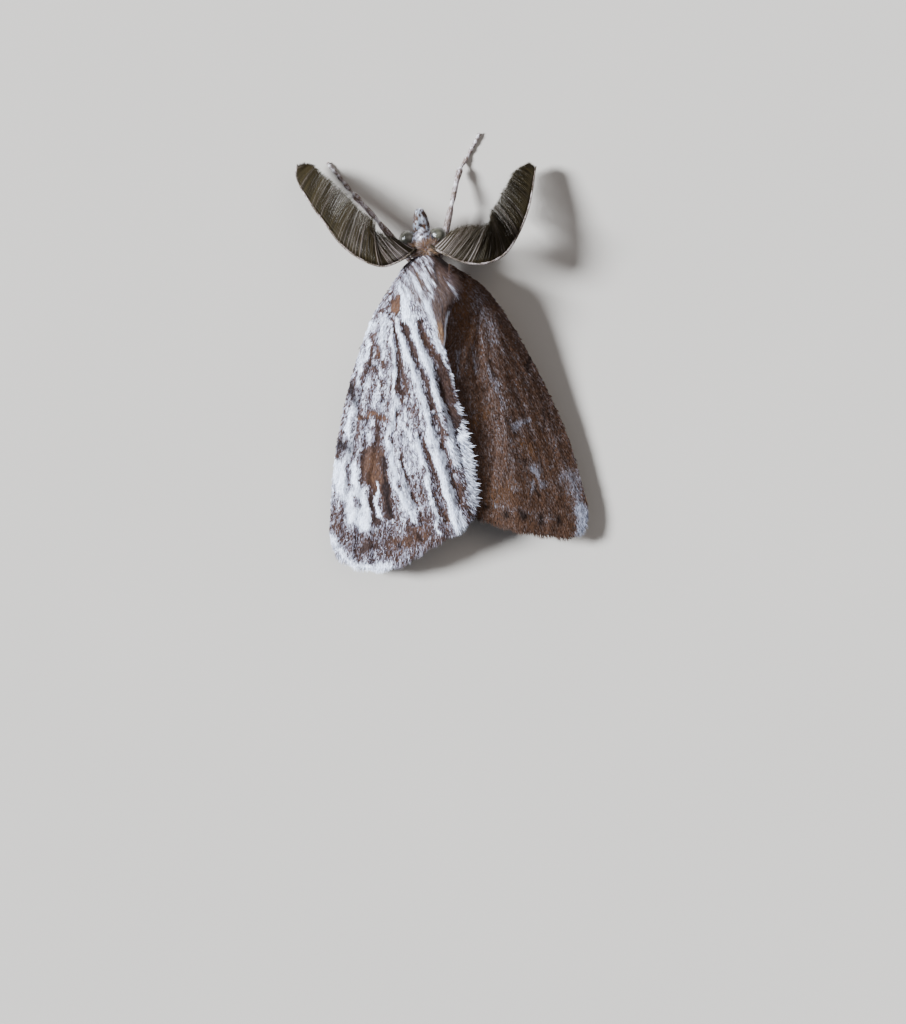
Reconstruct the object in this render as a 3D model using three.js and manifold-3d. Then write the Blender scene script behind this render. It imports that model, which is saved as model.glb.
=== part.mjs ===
// A male geometer moth at rest on a flat surface, life size, in millimetres.
// +Z is up, the head points towards -Y and the moth's left side is +X.
// Stations along the body are counted backwards from the neck, before the
// whole moth is moved so that the middle of its footprint is the origin.

import * as THREE from 'three';
import Module from 'manifold-3d';
import { mergeVertices } from 'three/addons/utils/BufferGeometryUtils.js';

const wasm = await Module();
wasm.setup();

// ---------------------------------------------------------------- sizes

const NECK_TO_MIDDLE = 5.1; // from the neck back to the middle of the footprint
const SEAM = 0.07; // open seam between neighbouring pieces
const ROUND_SIDES = 20; // facets round the body
const LEG_SIDES = 8; // facets round a leg or a palp

const WING_THICKNESS = 0.55; // measured straight down
const WING_ROWS = 14; // steps from the root to the outer margin
const WING_COLUMNS = 12; // steps from the leading edge to the inner margin
const FAN = 1.6; // how late along the wing its outer margin starts to bulge

const RIDGE_AT_NECK = 4.25; // height of the folded wings over the body's axis
const RIDGE_FALL = 0.118; // loss of that height for each millimetre further back
const RIDGE_ROUNDING = 1.2; // half-width over which the ridge is rounded off
const EDGE_HEIGHT = 0.9; // height of the leading edges at the back
const EDGE_RISE = 2.3; // how much higher the leading edges start at the front
const EDGE_RUN = 5.0; // distance over which they come down
const FOLDED_WIDTH = 7.6; // half-width that the folded wings tend to
const FOLDED_RUN = 6.4; // distance over which they widen

const EYE_RADIUS = 0.42;
const EYE_PLACE = new THREE.Vector3(0.8, -0.92, 2.05);

const FOOT_AXIS = 0.22; // height of a foot's centre line, less than its radius

const PLUME_THICKNESS = 0.5;
const PLUME_WIDTH = 1.9; // length of the longest barbs

// ------------------------------------------------------------ materials

// One finish, with its own colour and roughness.
function finish(color, roughness) {
  return new THREE.MeshStandardMaterial({ color, roughness, metalness: 0 });
}

const furFinish = () => finish(0x9a8b80, 0.95);
const tuftFinish = () => finish(0xa98a6c, 0.95);
const wingFinish = () => finish(0x8c7465, 0.85);
const hindwingFinish = () => finish(0xa89c92, 0.85);
const legFinish = () => finish(0x8a7b70, 0.85);
const eyeFinish = () => finish(0x4a4a3c, 0.3);
const plumeFinish = () => finish(0x6f6250, 0.9);

// -------------------------------------------------------------- helpers

const moth = new THREE.Group();
moth.position.y = -NECK_TO_MIDDLE;

// Names a shape and hangs it on the moth.
function add(name, geometry, material) {
  const mesh = new THREE.Mesh(geometry, material);
  mesh.name = name;
  moth.add(mesh);
}

// Volume enclosed by an indexed shape, negative when its faces point inwards.
function signedVolume(positions, index) {
  const corner = (i) => new THREE.Vector3().fromArray(positions, 3 * index[i]);
  let sum = 0;
  for (let i = 0; i < index.length; i += 3) {
    sum += corner(i).dot(corner(i + 1).cross(corner(i + 2)));
  }
  return sum / 6;
}

// A closed solid carried through rings with the same number of points. Each
// end is closed by a strip that zips the ring's first half to its second.
function loft(rings) {
  const sides = rings[0].length;
  const positions = rings.flat().flatMap((p) => p.toArray());
  const index = [];
  for (let row = 0; row + 1 < rings.length; row++) {
    for (let i = 0; i < sides; i++) {
      const a = row * sides + i;
      const b = row * sides + ((i + 1) % sides);
      index.push(a, b, a + sides, b, b + sides, a + sides);
    }
  }
  const last = (rings.length - 1) * sides;
  for (let i = 0; i < sides / 2 - 1; i++) {
    const [a, b, c, d] = [i, i + 1, sides - 1 - i, sides - 2 - i];
    index.push(a, c, b, b, c, d);
    index.push(last + a, last + b, last + c, last + b, last + d, last + c);
  }
  if (signedVolume(positions, index) < 0) {
    index.reverse();
  }
  const geometry = new THREE.BufferGeometry();
  geometry.setAttribute('position', new THREE.Float32BufferAttribute(positions, 3));
  geometry.setIndex(index);
  return geometry;
}

// Points round an oval of half-width a along side and half-height b along up.
function oval(centre, side, up, a, b, sides) {
  return Array.from({ length: sides }, (_, i) => {
    const angle = ((i + 0.5) / sides) * 2 * Math.PI;
    return centre
      .clone()
      .addScaledVector(side, a * Math.cos(angle))
      .addScaledVector(up, b * Math.sin(angle));
  });
}

// A smooth curve through a few points.
function smoothPath(points) {
  const path = points.map((p) => new THREE.Vector3(...p));
  return new THREE.CatmullRomCurve3(path, false, 'centripetal');
}

// A value read from evenly spaced stops, with a smooth curve through them.
function through(stops, t) {
  const points = stops.map((value, i) => new THREE.Vector2(i, value));
  return new THREE.SplineCurve(points).getPoint(t).y;
}

const smooth = (low, high, value) => THREE.MathUtils.smoothstep(value, low, high);

// What is left of a solid once another one has been taken out of it.
function cut(geometry, tool) {
  const solid = (shape) => {
    const bare = shape.clone();
    bare.deleteAttribute('normal');
    bare.deleteAttribute('uv');
    const merged = mergeVertices(bare, 1e-5);
    return new wasm.Manifold(
      new wasm.Mesh({
        numProp: 3,
        vertProperties: merged.attributes.position.array,
        triVerts: Uint32Array.from(merged.index.array),
      }),
    );
  };
  const mesh = solid(geometry).subtract(solid(tool)).getMesh();
  const result = new THREE.BufferGeometry();
  result.setAttribute('position', new THREE.BufferAttribute(mesh.vertProperties, 3));
  result.setIndex(new THREE.BufferAttribute(mesh.triVerts, 1));
  return result;
}

// ----------------------------------------------------------------- body

// A length of the body between two stations. Half-width, half-height and
// centre height are stops spread evenly from its front to its back.
function trunk({ from, to, rings, halfWidth, halfHeight, height }) {
  const sections = [];
  for (let i = 0; i <= rings; i++) {
    const t = i / rings;
    const centre = new THREE.Vector3(0, from + (to - from) * t, through(height, t));
    const side = new THREE.Vector3(1, 0, 0);
    const up = new THREE.Vector3(0, 0, 1);
    const [a, b] = [through(halfWidth, t), through(halfHeight, t)];
    sections.push(oval(centre, side, up, a, b, ROUND_SIDES));
  }
  return loft(sections);
}

const thorax = {
  from: 0.8,
  to: 4.1,
  rings: 9,
  halfWidth: [1.02, 1.28, 1.4, 1.38, 1.2, 0.86, 0.45],
  halfHeight: [1.14, 1.36, 1.5, 1.44, 1.2, 0.9, 0.5],
  height: [2.2, 2.27, 2.3, 2.26, 2.15, 1.98, 1.9],
};

const collar = {
  from: 0.14,
  to: thorax.from - SEAM,
  rings: 3,
  halfWidth: [0.72, 0.9, 1.0],
  halfHeight: [0.8, 1.0, 1.12],
  height: [2.1, 2.15, 2.2],
};

const head = {
  from: -1.42,
  to: collar.from - SEAM,
  rings: 7,
  halfWidth: [0.34, 0.62, 0.8, 0.84, 0.8, 0.66],
  halfHeight: [0.38, 0.66, 0.82, 0.86, 0.82, 0.72],
  height: [2.0, 2.05, 2.1, 2.13, 2.12, 2.1],
};

add('thorax', trunk(thorax), furFinish());
add('collar', trunk(collar), furFinish());

// The head is hollowed for the eyes, which sit nearly half sunk in it.
function eyeBall(side, radius) {
  const ball = new THREE.SphereGeometry(radius, 14, 10);
  ball.translate(side * EYE_PLACE.x, EYE_PLACE.y, EYE_PLACE.z);
  return ball;
}

const rightEyeCut = cut(trunk(head), eyeBall(-1, EYE_RADIUS + SEAM));
add('head', cut(rightEyeCut, eyeBall(1, EYE_RADIUS + SEAM)), tuftFinish());
add('eye_left', eyeBall(1, EYE_RADIUS), eyeFinish());
add('eye_right', eyeBall(-1, EYE_RADIUS), eyeFinish());

// ------------------------------------------------- lie of the folded wings

const ridgeHeight = (station) => RIDGE_AT_NECK - RIDGE_FALL * station;

const offRidge = (x) => Math.hypot(x, RIDGE_ROUNDING) - RIDGE_ROUNDING;

function edgeHeight(station) {
  const run = Math.max(station, 0) / EDGE_RUN;
  return EDGE_HEIGHT + EDGE_RISE * Math.exp(-(run ** 1.5));
}

const foldedHalfWidth = (station) => FOLDED_WIDTH * (1 - Math.exp(-(station + 0.6) / FOLDED_RUN));

// Height of the upper face of the folded wings: a low roof whose ridge runs
// down backwards, rounded over the body, with its eaves close to the ground.
function roof(x, station) {
  const ridge = ridgeHeight(station);
  const share = offRidge(x) / offRidge(foldedHalfWidth(station));
  return ridge - (ridge - edgeHeight(station)) * share;
}

// How far a right-hand layer is lowered, behind the thorax and towards the
// body's axis, so that the left wing can lie on it.
function tuckUnder(x, station) {
  return (WING_THICKNESS + SEAM) * smooth(-3.5, -1.8, x) * smooth(2.6, 4.2, station);
}

// ---------------------------------------------------------------- wings

// Each wing's plan is drawn as if it were a left one: its leading edge from
// the root, its outer margin from the leading edge, and its inner margin.
const wings = {
  forewing_left: {
    side: 1,
    depth: 0,
    material: wingFinish(),
    leading: [[1.2, 0.65], [3.0, 2.8], [4.75, 6.35], [6.0, 10.15], [6.75, 13.9]],
    outer: [[6.75, 13.9], [6.45, 15.5], [5.0, 16.35], [3.3, 16.3], [1.5, 15.45], [-0.6, 14.4], [-1.45, 12.9]],
    inner: [[1.38, 3.0], [0.45, 3.75], [-0.3, 4.5], [-0.62, 5.6], [-0.8, 7.0], [-1.27, 9.3], [-1.45, 12.9]],
  },
  forewing_right: {
    side: -1,
    depth: 0,
    material: wingFinish(),
    leading: [[1.2, 0.65], [3.0, 2.25], [4.95, 6.2], [6.3, 10.2], [6.98, 14.0]],
    outer: [
      [6.98, 14.0], [6.75, 15.4], [6.0, 15.93], [4.7, 15.67],
      [3.2, 15.2], [1.2, 14.2], [-0.6, 13.2], [-1.1, 12.0],
    ],
    inner: [[1.4, 3.2], [0.6, 4.25], [-0.3, 5.1], [-0.8, 6.3], [-1.1, 9.0], [-1.1, 12.0]],
  },
};

const hindwingPlan = {
  depth: WING_THICKNESS + SEAM,
  leading: [[1.8, 3.3], [3.1, 6.0], [4.4, 9.8], [5.0, 12.6]],
  outer: [[5.0, 12.6], [4.7, 14.0], [3.6, 14.7], [2.4, 14.3], [1.7, 13.2], [1.5, 12.0]],
  inner: [[1.55, 4.4], [1.45, 6.5], [1.45, 9.0], [1.5, 12.0]],
};
wings.hindwing_left = { side: 1, material: hindwingFinish(), ...hindwingPlan };
wings.hindwing_right = { side: -1, material: hindwingFinish(), ...hindwingPlan };

// A smooth plan curve through a few points, read by the share of its length.
const planCurve = (points) => smoothPath(points.map(([x, y]) => [x, y, 0]));

// The wing's plan as a patch between its edges: across from the leading edge
// to the inner margin, along from the root to the outer margin.
function wingPlan({ leading, outer, inner }) {
  const [lead, rim, back] = [leading, outer, inner].map(planCurve);
  return (across, along) => {
    const chord = lead.getPointAt(1).lerp(back.getPointAt(1), across);
    const bulge = rim.getPointAt(across).sub(chord);
    return lead
      .getPointAt(along)
      .lerp(back.getPointAt(along), across)
      .addScaledVector(bulge, along ** FAN);
  };
}

// A wing is a plate that follows the roof, with one ring for each step along.
function wing(shape) {
  const plan = wingPlan(shape);
  const face = (across, along, lower) => {
    const point = plan(across, along);
    const x = shape.side * point.x;
    const tuck = shape.side < 0 ? tuckUnder(x, point.y) : 0;
    const z = roof(x, point.y) - tuck - shape.depth - lower;
    return new THREE.Vector3(x, point.y, z);
  };
  const rings = [];
  for (let row = 0; row <= WING_ROWS; row++) {
    const steps = Array.from({ length: WING_COLUMNS + 1 }, (_, i) => i / WING_COLUMNS);
    const top = steps.map((across) => face(across, row / WING_ROWS, 0));
    const under = steps.map((across) => face(across, row / WING_ROWS, WING_THICKNESS));
    rings.push([...top, ...under.reverse()]);
  }
  return loft(rings);
}

for (const [name, shape] of Object.entries(wings)) {
  add(name, wing(shape), shape.material);
}

// -------------------------------------------------------------- tegulae

// A tegula is a scale-covered lappet on the shoulder, over the wing's root.
const TEGULA = { from: 0.95, to: 3.2, low: 48, high: 78, rise: 0.24, rim: 0.12, rows: 7, columns: 6 };

function tegula(side) {
  const skin = (t, share, lift) => {
    const station = THREE.MathUtils.lerp(TEGULA.from, TEGULA.to, t);
    const along = (station - thorax.from) / (thorax.to - thorax.from);
    const angle = THREE.MathUtils.degToRad(THREE.MathUtils.lerp(TEGULA.low, TEGULA.high, share));
    const a = through(thorax.halfWidth, along) + SEAM + lift;
    const b = through(thorax.halfHeight, along) + SEAM + lift;
    const z = through(thorax.height, along) + b * Math.sin(angle);
    return new THREE.Vector3(side * a * Math.cos(angle), station, z);
  };
  const crown = (t, share) => Math.sin(Math.PI * t) * Math.sin(Math.PI * share);
  const rings = [];
  for (let row = 0; row <= TEGULA.rows; row++) {
    const t = row / TEGULA.rows;
    const steps = Array.from({ length: TEGULA.columns + 1 }, (_, i) => i / TEGULA.columns);
    const top = steps.map((share) => skin(t, share, TEGULA.rim + TEGULA.rise * crown(t, share)));
    const under = steps.map((share) => skin(t, share, 0));
    rings.push([...top, ...under.reverse()]);
  }
  return loft(rings);
}

add('tegula_left', tegula(1), furFinish());
add('tegula_right', tegula(-1), furFinish());

// -------------------------------------------------------------- abdomen

// The abdomen lies under the wings and tapers to a blunt tip. Its back runs
// below the wings' ridge, and its fullness is its height's share of the room.
const ABDOMEN = {
  from: thorax.to + SEAM,
  to: 11.6,
  rings: 12,
  belly: 0.62,
  below: 1.3,
  halfWidth: [0.42, 0.9, 1.05, 1.08, 1.04, 0.95, 0.8, 0.36],
  fullness: [0.5, 0.9, 1.0, 1.0, 1.0, 0.96, 0.84, 0.4],
};

function abdomen() {
  const sections = [];
  for (let i = 0; i <= ABDOMEN.rings; i++) {
    const t = i / ABDOMEN.rings;
    const station = THREE.MathUtils.lerp(ABDOMEN.from, ABDOMEN.to, t);
    const back = ridgeHeight(station) - ABDOMEN.below;
    const centre = new THREE.Vector3(0, station, (back + ABDOMEN.belly) / 2);
    const a = through(ABDOMEN.halfWidth, t);
    const b = ((back - ABDOMEN.belly) / 2) * through(ABDOMEN.fullness, t);
    const side = new THREE.Vector3(1, 0, 0);
    const up = new THREE.Vector3(0, 0, 1);
    sections.push(oval(centre, side, up, a, b, ROUND_SIDES));
  }
  return loft(sections);
}

add('abdomen', abdomen(), furFinish());

// ----------------------------------------------------- tubes that taper

// A stretch of a curve, between two of its parameters, as a tube whose radius
// follows its stops. Nothing of it goes below the ground, where it lies flat.
function limb(curve, from, to, { radii, rings }) {
  const sections = [];
  for (let i = 0; i <= rings; i++) {
    const t = THREE.MathUtils.lerp(from, to, i / rings);
    const tangent = curve.getTangent(t);
    const side = tangent.clone().cross(new THREE.Vector3(0, 0, 1)).normalize();
    const up = side.clone().cross(tangent).normalize();
    const radius = through(radii, i / rings);
    const ring = oval(curve.getPoint(t), side, up, radius, radius, LEG_SIDES);
    ring.forEach((p) => p.setZ(Math.max(p.z, 0)));
    sections.push(ring);
  }
  return loft(sections);
}

// ----------------------------------------------------------------- legs

// Each leg runs in one curve through its hip, knee and ankle, then along the
// ground from the heel to the toe. Thin seams part it into its three lengths.
const legs = {
  foreleg_left: [[0.75, 0.25, 0.93], [2.2, -2.05, 1.15], [3.3, -3.65, 0.55], [4.5, -5.5]],
  foreleg_right: [[-0.75, 0.25, 0.93], [-1.7, -2.45, 1.15], [-2.36, -4.3, 0.55], [-3.6, -6.1]],
  midleg_left: [[1.12, 1.9, 0.82], [3.1, 3.6, 1.05], [4.2, 6.2, 0.55], [4.6, 8.6]],
  midleg_right: [[-1.12, 1.9, 0.82], [-3.1, 3.6, 1.05], [-4.2, 6.2, 0.55], [-4.6, 8.6]],
  hindleg_left: [[1.12, 3.2, 0.8], [2.2, 6.0, 0.76], [2.9, 9.8, 0.55], [3.3, 12.8]],
  hindleg_right: [[-1.12, 3.2, 0.8], [-2.2, 6.0, 0.76], [-2.9, 9.8, 0.55], [-3.3, 12.8]],
};
const THIGH = { radii: [0.3, 0.31, 0.29, 0.26], rings: 5 };
const SHIN = { radii: [0.26, 0.28, 0.27, 0.25], rings: 5 };
const FOOT = { radii: [0.25, 0.26, 0.26, 0.25], rings: 8 };
const HEEL = 0.35; // share of the foot, from the ankle, that is off the ground
const SPANS = 4; // stretches of a leg's curve: thigh, shin, and two of the foot

for (const [name, [hip, knee, ankle, toe]] of Object.entries(legs)) {
  const heel = [0, 1].map((axis) => THREE.MathUtils.lerp(ankle[axis], toe[axis], HEEL));
  const points = [hip, knee, ankle, [...heel, FOOT_AXIS], [...toe, FOOT_AXIS]];
  const curve = smoothPath(points);
  const seamAfter = (span) => {
    const [a, b] = [points[span], points[span + 1]].map((p) => new THREE.Vector3(...p));
    return SEAM / a.distanceTo(b) / SPANS;
  };
  const [kneeAt, ankleAt] = [1 / SPANS, 2 / SPANS];
  const femur = limb(curve, 0, kneeAt - seamAfter(0), THIGH);
  add(`${name}_femur`, femur, legFinish());
  const tibia = limb(curve, kneeAt, ankleAt - seamAfter(1), SHIN);
  add(`${name}_tibia`, tibia, legFinish());
  add(`${name}_tarsus`, limb(curve, ankleAt, 1, FOOT), legFinish());
}

// ----------------------------------------------------------- mouthparts

// The two palps run forward side by side, as a short snout.
const palps = { palp_left: 1, palp_right: -1 };
const PALP = { radii: [0.24, 0.25, 0.21, 0.14], rings: 5 };
const PALP_COURSE = [[0.29, -1.4, 1.32], [0.29, -1.88, 1.58], [0.19, -2.42, 1.84]];
for (const [name, side] of Object.entries(palps)) {
  const points = PALP_COURSE.map(([x, y, z]) => [side * x, y, z]);
  add(name, limb(smoothPath(points), 0, 1, PALP), furFinish());
}

// The tongue is a small coil held under the face, behind the palps.
const TONGUE = { radius: 0.26, width: 0.4, sides: 16, place: [0, -1.12, 0.94] };

function tongue() {
  const coil = new THREE.CylinderGeometry(TONGUE.radius, TONGUE.radius, TONGUE.width, TONGUE.sides);
  coil.rotateZ(Math.PI / 2);
  coil.translate(...TONGUE.place);
  return coil;
}

add('tongue', tongue(), legFinish());

// ------------------------------------------------------------- antennae

// Each antenna is a plume: barbs stand out of one shaft, forwards and
// inwards, and fill a flat blade. Widths are stops from the head to the tip.
const antennae = {
  antenna_left: [
    [0.42, -0.34, 3.18], [1.35, 0.24, 3.46], [2.21, 0.43, 3.54], [3.11, 0.08, 3.42],
    [4.18, -0.87, 3.05], [4.98, -2.18, 2.5], [5.66, -3.43, 1.95], [6.05, -4.27, 1.6], [6.2, -5.25, 1.2],
  ],
  antenna_right: [
    [-0.42, -0.34, 3.18], [-1.24, 0.3, 3.52], [-1.9, 0.68, 3.6], [-2.6, 0.88, 3.58],
    [-3.4, 0.85, 3.42], [-4.2, 0.48, 3.1], [-5.05, -0.55, 2.55], [-5.75, -1.9, 2.0], [-6.35, -3.9, 1.25],
  ],
};
const PLUME_STOPS = [0.16, 0.45, 0.85, 1.0, 1.0, 0.95, 0.8, 0.62, 0.3];
const PLUME_RINGS = 18;
const PLUME_SIDES = 10;
const BARB_LEAN = 58; // angle of the barbs from the shaft, in degrees

function antenna(points, side) {
  const curve = smoothPath(points);
  const lean = THREE.MathUtils.degToRad(BARB_LEAN);
  const rings = [];
  for (let i = 0; i <= PLUME_RINGS; i++) {
    const t = i / PLUME_RINGS;
    const tangent = curve.getTangentAt(t);
    const up = new THREE.Vector3(0, 0, 1);
    const inward = up.clone().cross(tangent).multiplyScalar(side).normalize();
    const barb = tangent.multiplyScalar(Math.cos(lean)).addScaledVector(inward, Math.sin(lean));
    const half = (PLUME_WIDTH * through(PLUME_STOPS, t)) / 2;
    const centre = curve.getPointAt(t).addScaledVector(barb, half - PLUME_THICKNESS / 2);
    rings.push(oval(centre, barb, up, half + PLUME_THICKNESS / 8, PLUME_THICKNESS / 2, PLUME_SIDES));
  }
  return loft(rings);
}

add('antenna_left', antenna(antennae.antenna_left, 1), plumeFinish());
add('antenna_right', antenna(antennae.antenna_right, -1), plumeFinish());

export default moth;
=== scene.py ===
"""A male geometer moth at rest, a still, life-size museum model.

Shapes are worked out in millimetres. X runs across the body, with the moth's left side at +X. A station is a
place along the body, counted backwards from the neck. Z is the height over the ground. Shape.points become
metres, in the frame's own place, when a piece is made.
"""
import logging
import math
from dataclasses import dataclass, field
from enum import Enum

import bpy
import numpy as np
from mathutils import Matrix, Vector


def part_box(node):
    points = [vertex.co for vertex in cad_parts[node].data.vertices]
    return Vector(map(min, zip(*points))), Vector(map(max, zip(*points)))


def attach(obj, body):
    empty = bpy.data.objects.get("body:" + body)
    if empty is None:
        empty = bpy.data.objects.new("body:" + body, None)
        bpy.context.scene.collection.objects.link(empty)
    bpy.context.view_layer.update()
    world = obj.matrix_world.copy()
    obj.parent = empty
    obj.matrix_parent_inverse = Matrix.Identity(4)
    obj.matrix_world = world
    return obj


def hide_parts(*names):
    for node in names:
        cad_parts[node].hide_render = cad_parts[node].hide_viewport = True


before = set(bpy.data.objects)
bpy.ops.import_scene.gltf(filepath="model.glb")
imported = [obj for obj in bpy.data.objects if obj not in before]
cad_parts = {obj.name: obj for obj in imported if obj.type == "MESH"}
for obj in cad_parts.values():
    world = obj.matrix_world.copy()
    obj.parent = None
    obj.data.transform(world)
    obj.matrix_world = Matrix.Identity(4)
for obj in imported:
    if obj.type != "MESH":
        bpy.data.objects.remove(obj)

Array = np.ndarray
Colour = tuple[float, float, float]
Stops = tuple[float, ...]
Line = tuple[tuple[float, ...], ...]

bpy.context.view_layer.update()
MM = 0.001
THORAX_FRONT = 0.8
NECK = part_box("thorax")[0].y / MM - THORAX_FRONT
BAKE_PATCH = 0.003
UP = np.array([0.0, 0.0, 1.0])
EVEN_STEPS = (0.7548776662, 0.5698402910)
LATTICE = 128


# ------------------------------------------------------------------ curves and noise


def smoothstep(low: float, high: float, value: Array) -> Array:
    """A soft step.

    Args:
        low: Value at which the step leaves 0.
        high: Value at which it reaches 1.
        value: What is compared.

    Returns:
        t squared times (3 - 2 t), where t is the value's share of the way from low to high.
    """
    t = np.clip((np.asarray(value, float) - low) / (high - low), 0.0, 1.0)
    return t * t * (3.0 - 2.0 * t)


def unit(vectors: Array) -> Array:
    """Vectors scaled to length 1."""
    return vectors / np.maximum(np.linalg.norm(vectors, axis=-1, keepdims=True), 1e-12)


def near(value: Array, centre: float, width: float) -> Array:
    """A bell of height 1 round a centre: e to the minus square of the distance over the width."""
    return np.exp(-(((value - centre) / width) ** 2))


def profile(at: Array, stops: Stops, values: Stops) -> Array:
    """A smooth curve through values, as cubic pieces whose slopes come from the neighbouring stops.

    Args:
        at: Where the curve is read.
        stops: Rising places of the values.
        values: The values there.

    Returns:
        The curve's height at each place.
    """
    x, y = np.asarray(stops, float), np.asarray(values, float)
    slope = np.gradient(y, x)
    at = np.asarray(at, float)
    i = np.clip(np.searchsorted(x, at) - 1, 0, len(x) - 2)
    width = x[i + 1] - x[i]
    t = np.clip((at - x[i]) / width, 0.0, 1.0)
    rise = t * t * (3.0 - 2.0 * t)
    ends = y[i] + (y[i + 1] - y[i]) * rise
    return ends + width * (t * (1 - t) ** 2 * slope[i] - t * t * (1 - t) * slope[i + 1])


def spline(points: Line, shares: Array) -> Array:
    """A centripetal Catmull-Rom curve, read by the share of its length.

    Args:
        points: What the curve passes through.
        shares: Shares of its length, from 0 to 1.

    Returns:
        A point of the curve for each share.
    """
    knots = np.asarray(points, float)
    knots = np.vstack([2 * knots[0] - knots[1], knots, 2 * knots[-1] - knots[-2]])
    gaps = np.sqrt(np.linalg.norm(np.diff(knots, axis=0), axis=1))
    fine = np.linspace(0.0, len(points) - 1, 120 * (len(points) - 1) + 1)
    i = np.minimum(fine.astype(int), len(points) - 2)
    t = (fine - i)[:, None]
    p0, p1, p2, p3 = (knots[i + k] for k in range(4))
    g0, g1, g2 = (gaps[i + k][:, None] for k in range(3))
    start = g1 * ((p1 - p0) / g0 - (p2 - p0) / (g0 + g1) + (p2 - p1) / g1)
    end = g1 * ((p2 - p1) / g1 - (p3 - p1) / (g1 + g2) + (p3 - p2) / g2)
    rise = t * t * (3.0 - 2.0 * t)
    curve = p1 + (p2 - p1) * rise + t * (1 - t) ** 2 * start - t * t * (1 - t) * end
    length = np.r_[0.0, np.cumsum(np.linalg.norm(np.diff(curve, axis=0), axis=1))]
    return np.stack([np.interp(shares, length / length[-1], axis) for axis in curve.T], -1)


def noise(u: Array, v: Array | float, seed: int) -> Array:
    """Smooth noise between 0 and 1, from random heights on a square lattice, blended by soft steps.

    Args:
        u: First coordinate, in lattice steps.
        v: Second coordinate, in lattice steps.
        seed: Picks the lattice.

    Returns:
        The noise at each place.
    """
    lattice = np.random.default_rng(seed).random((LATTICE, LATTICE))
    i, j = np.floor(u).astype(int), np.floor(v).astype(int)
    f, g = smoothstep(0, 1, u - i), smoothstep(0, 1, v - j)
    rows, columns = (i % LATTICE, (i + 1) % LATTICE), (j % LATTICE, (j + 1) % LATTICE)
    low = lattice[rows[0], columns[0]] * (1 - g) + lattice[rows[0], columns[1]] * g
    high = lattice[rows[1], columns[0]] * (1 - g) + lattice[rows[1], columns[1]] * g
    return low * (1 - f) + high * f


def spread(count: int, seed: int) -> tuple[Array, Array, np.random.Generator]:
    """Even but irregular places in the unit square: steps of two irrational numbers, wrapped round.

    Args:
        count: How many places.
        seed: Moves the start, and seeds the generator.

    Returns:
        The two coordinates, and a generator for further draws.
    """
    rng = np.random.default_rng(seed)
    step = np.arange(count)
    first, second = rng.random(2)
    return (first + step * EVEN_STEPS[0]) % 1.0, (second + step * EVEN_STEPS[1]) % 1.0, rng


def lots(rng: np.random.Generator, shape: int | tuple[int, ...]) -> dict[str, Array]:
    """The two random marks of each tuft or point, between 0 and 1."""
    return {name: rng.random(shape) for name in ("luck", "chance")}


def lifts(rng: np.random.Generator, least: float, extra: Array | float, count: int) -> Array:
    """Angles in radians by which tufts stand off the skin, from degrees: the least, plus up to the extra."""
    return np.radians(least + extra * rng.random(count))


def nearness(points: Array, line: Array, width: float) -> Array:
    """How close points are to a line of straight stretches: e to the minus square of distance over width.

    Args:
        points: Places, one row each.
        line: The line's corners, or a single place.
        width: Distance at which the closeness has fallen to about a third.

    Returns:
        1 on the line, falling softly to 0.
    """
    start = line[:-1] if len(line) > 1 else line
    way = (line[1:] - start) if len(line) > 1 else np.zeros_like(line)
    reach = np.maximum((way**2).sum(-1), 1e-12)
    off = points[:, None] - start
    share = np.clip((off * way).sum(-1) / reach, 0.0, 1.0)
    gap = ((off - share[..., None] * way) ** 2).sum(-1).min(-1)
    return np.exp(-gap / width**2)


# ------------------------------------------------------------------ shapes and pieces


@dataclass
class Shape:
    """A mesh as whole arrays: points, faces of equal size in each array, marks, and places for baking."""

    points: Array
    faces: list[Array]
    marks: dict[str, Array] = field(default_factory=dict)
    bake: Array | None = None


def joined(shapes: list[Shape]) -> Shape:
    """Several shapes as one, with 0 where a shape lacks a mark.

    Args:
        shapes: What is joined.

    Returns:
        The joined shape.
    """
    starts = np.cumsum([0] + [len(s.points) for s in shapes])
    faces = [f + start for s, start in zip(shapes, starts) for f in s.faces]
    names = sorted({name for s in shapes for name in s.marks})
    marks = {n: np.concatenate([s.marks.get(n, np.zeros(len(s.points))) for s in shapes]) for n in names}
    with_bake = all(s.bake is not None for s in shapes)
    bake = np.concatenate([s.bake for s in shapes]) if with_bake else None
    return Shape(np.vstack([s.points for s in shapes]), faces, marks, bake)


def round_quads(index: Array) -> tuple[Array, Array]:
    """Quads between rings of point numbers, by row and round each ring, and each one's next number."""
    after = np.roll(index, -1, axis=1)
    return np.stack([index[:-1], after[:-1], after[1:], index[1:]], -1).reshape(-1, 4), after


def circles(angle: Array, side: Array, up: Array, flat: float = 1.0) -> Array:
    """Unit circles, one for each pair of axes, with the share by which their height is flattened."""
    return np.cos(angle)[:, None] * side[:, None] + flat * np.sin(angle)[:, None] * up[:, None]


def round_bake(angle: Array, along: Array) -> Array:
    """Bake places on a rounded skin, from angles round it and places along the unwrap."""
    return np.stack([0.01 + 0.97 * (angle / (2 * np.pi)) % 0.98, along], -1)


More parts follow.
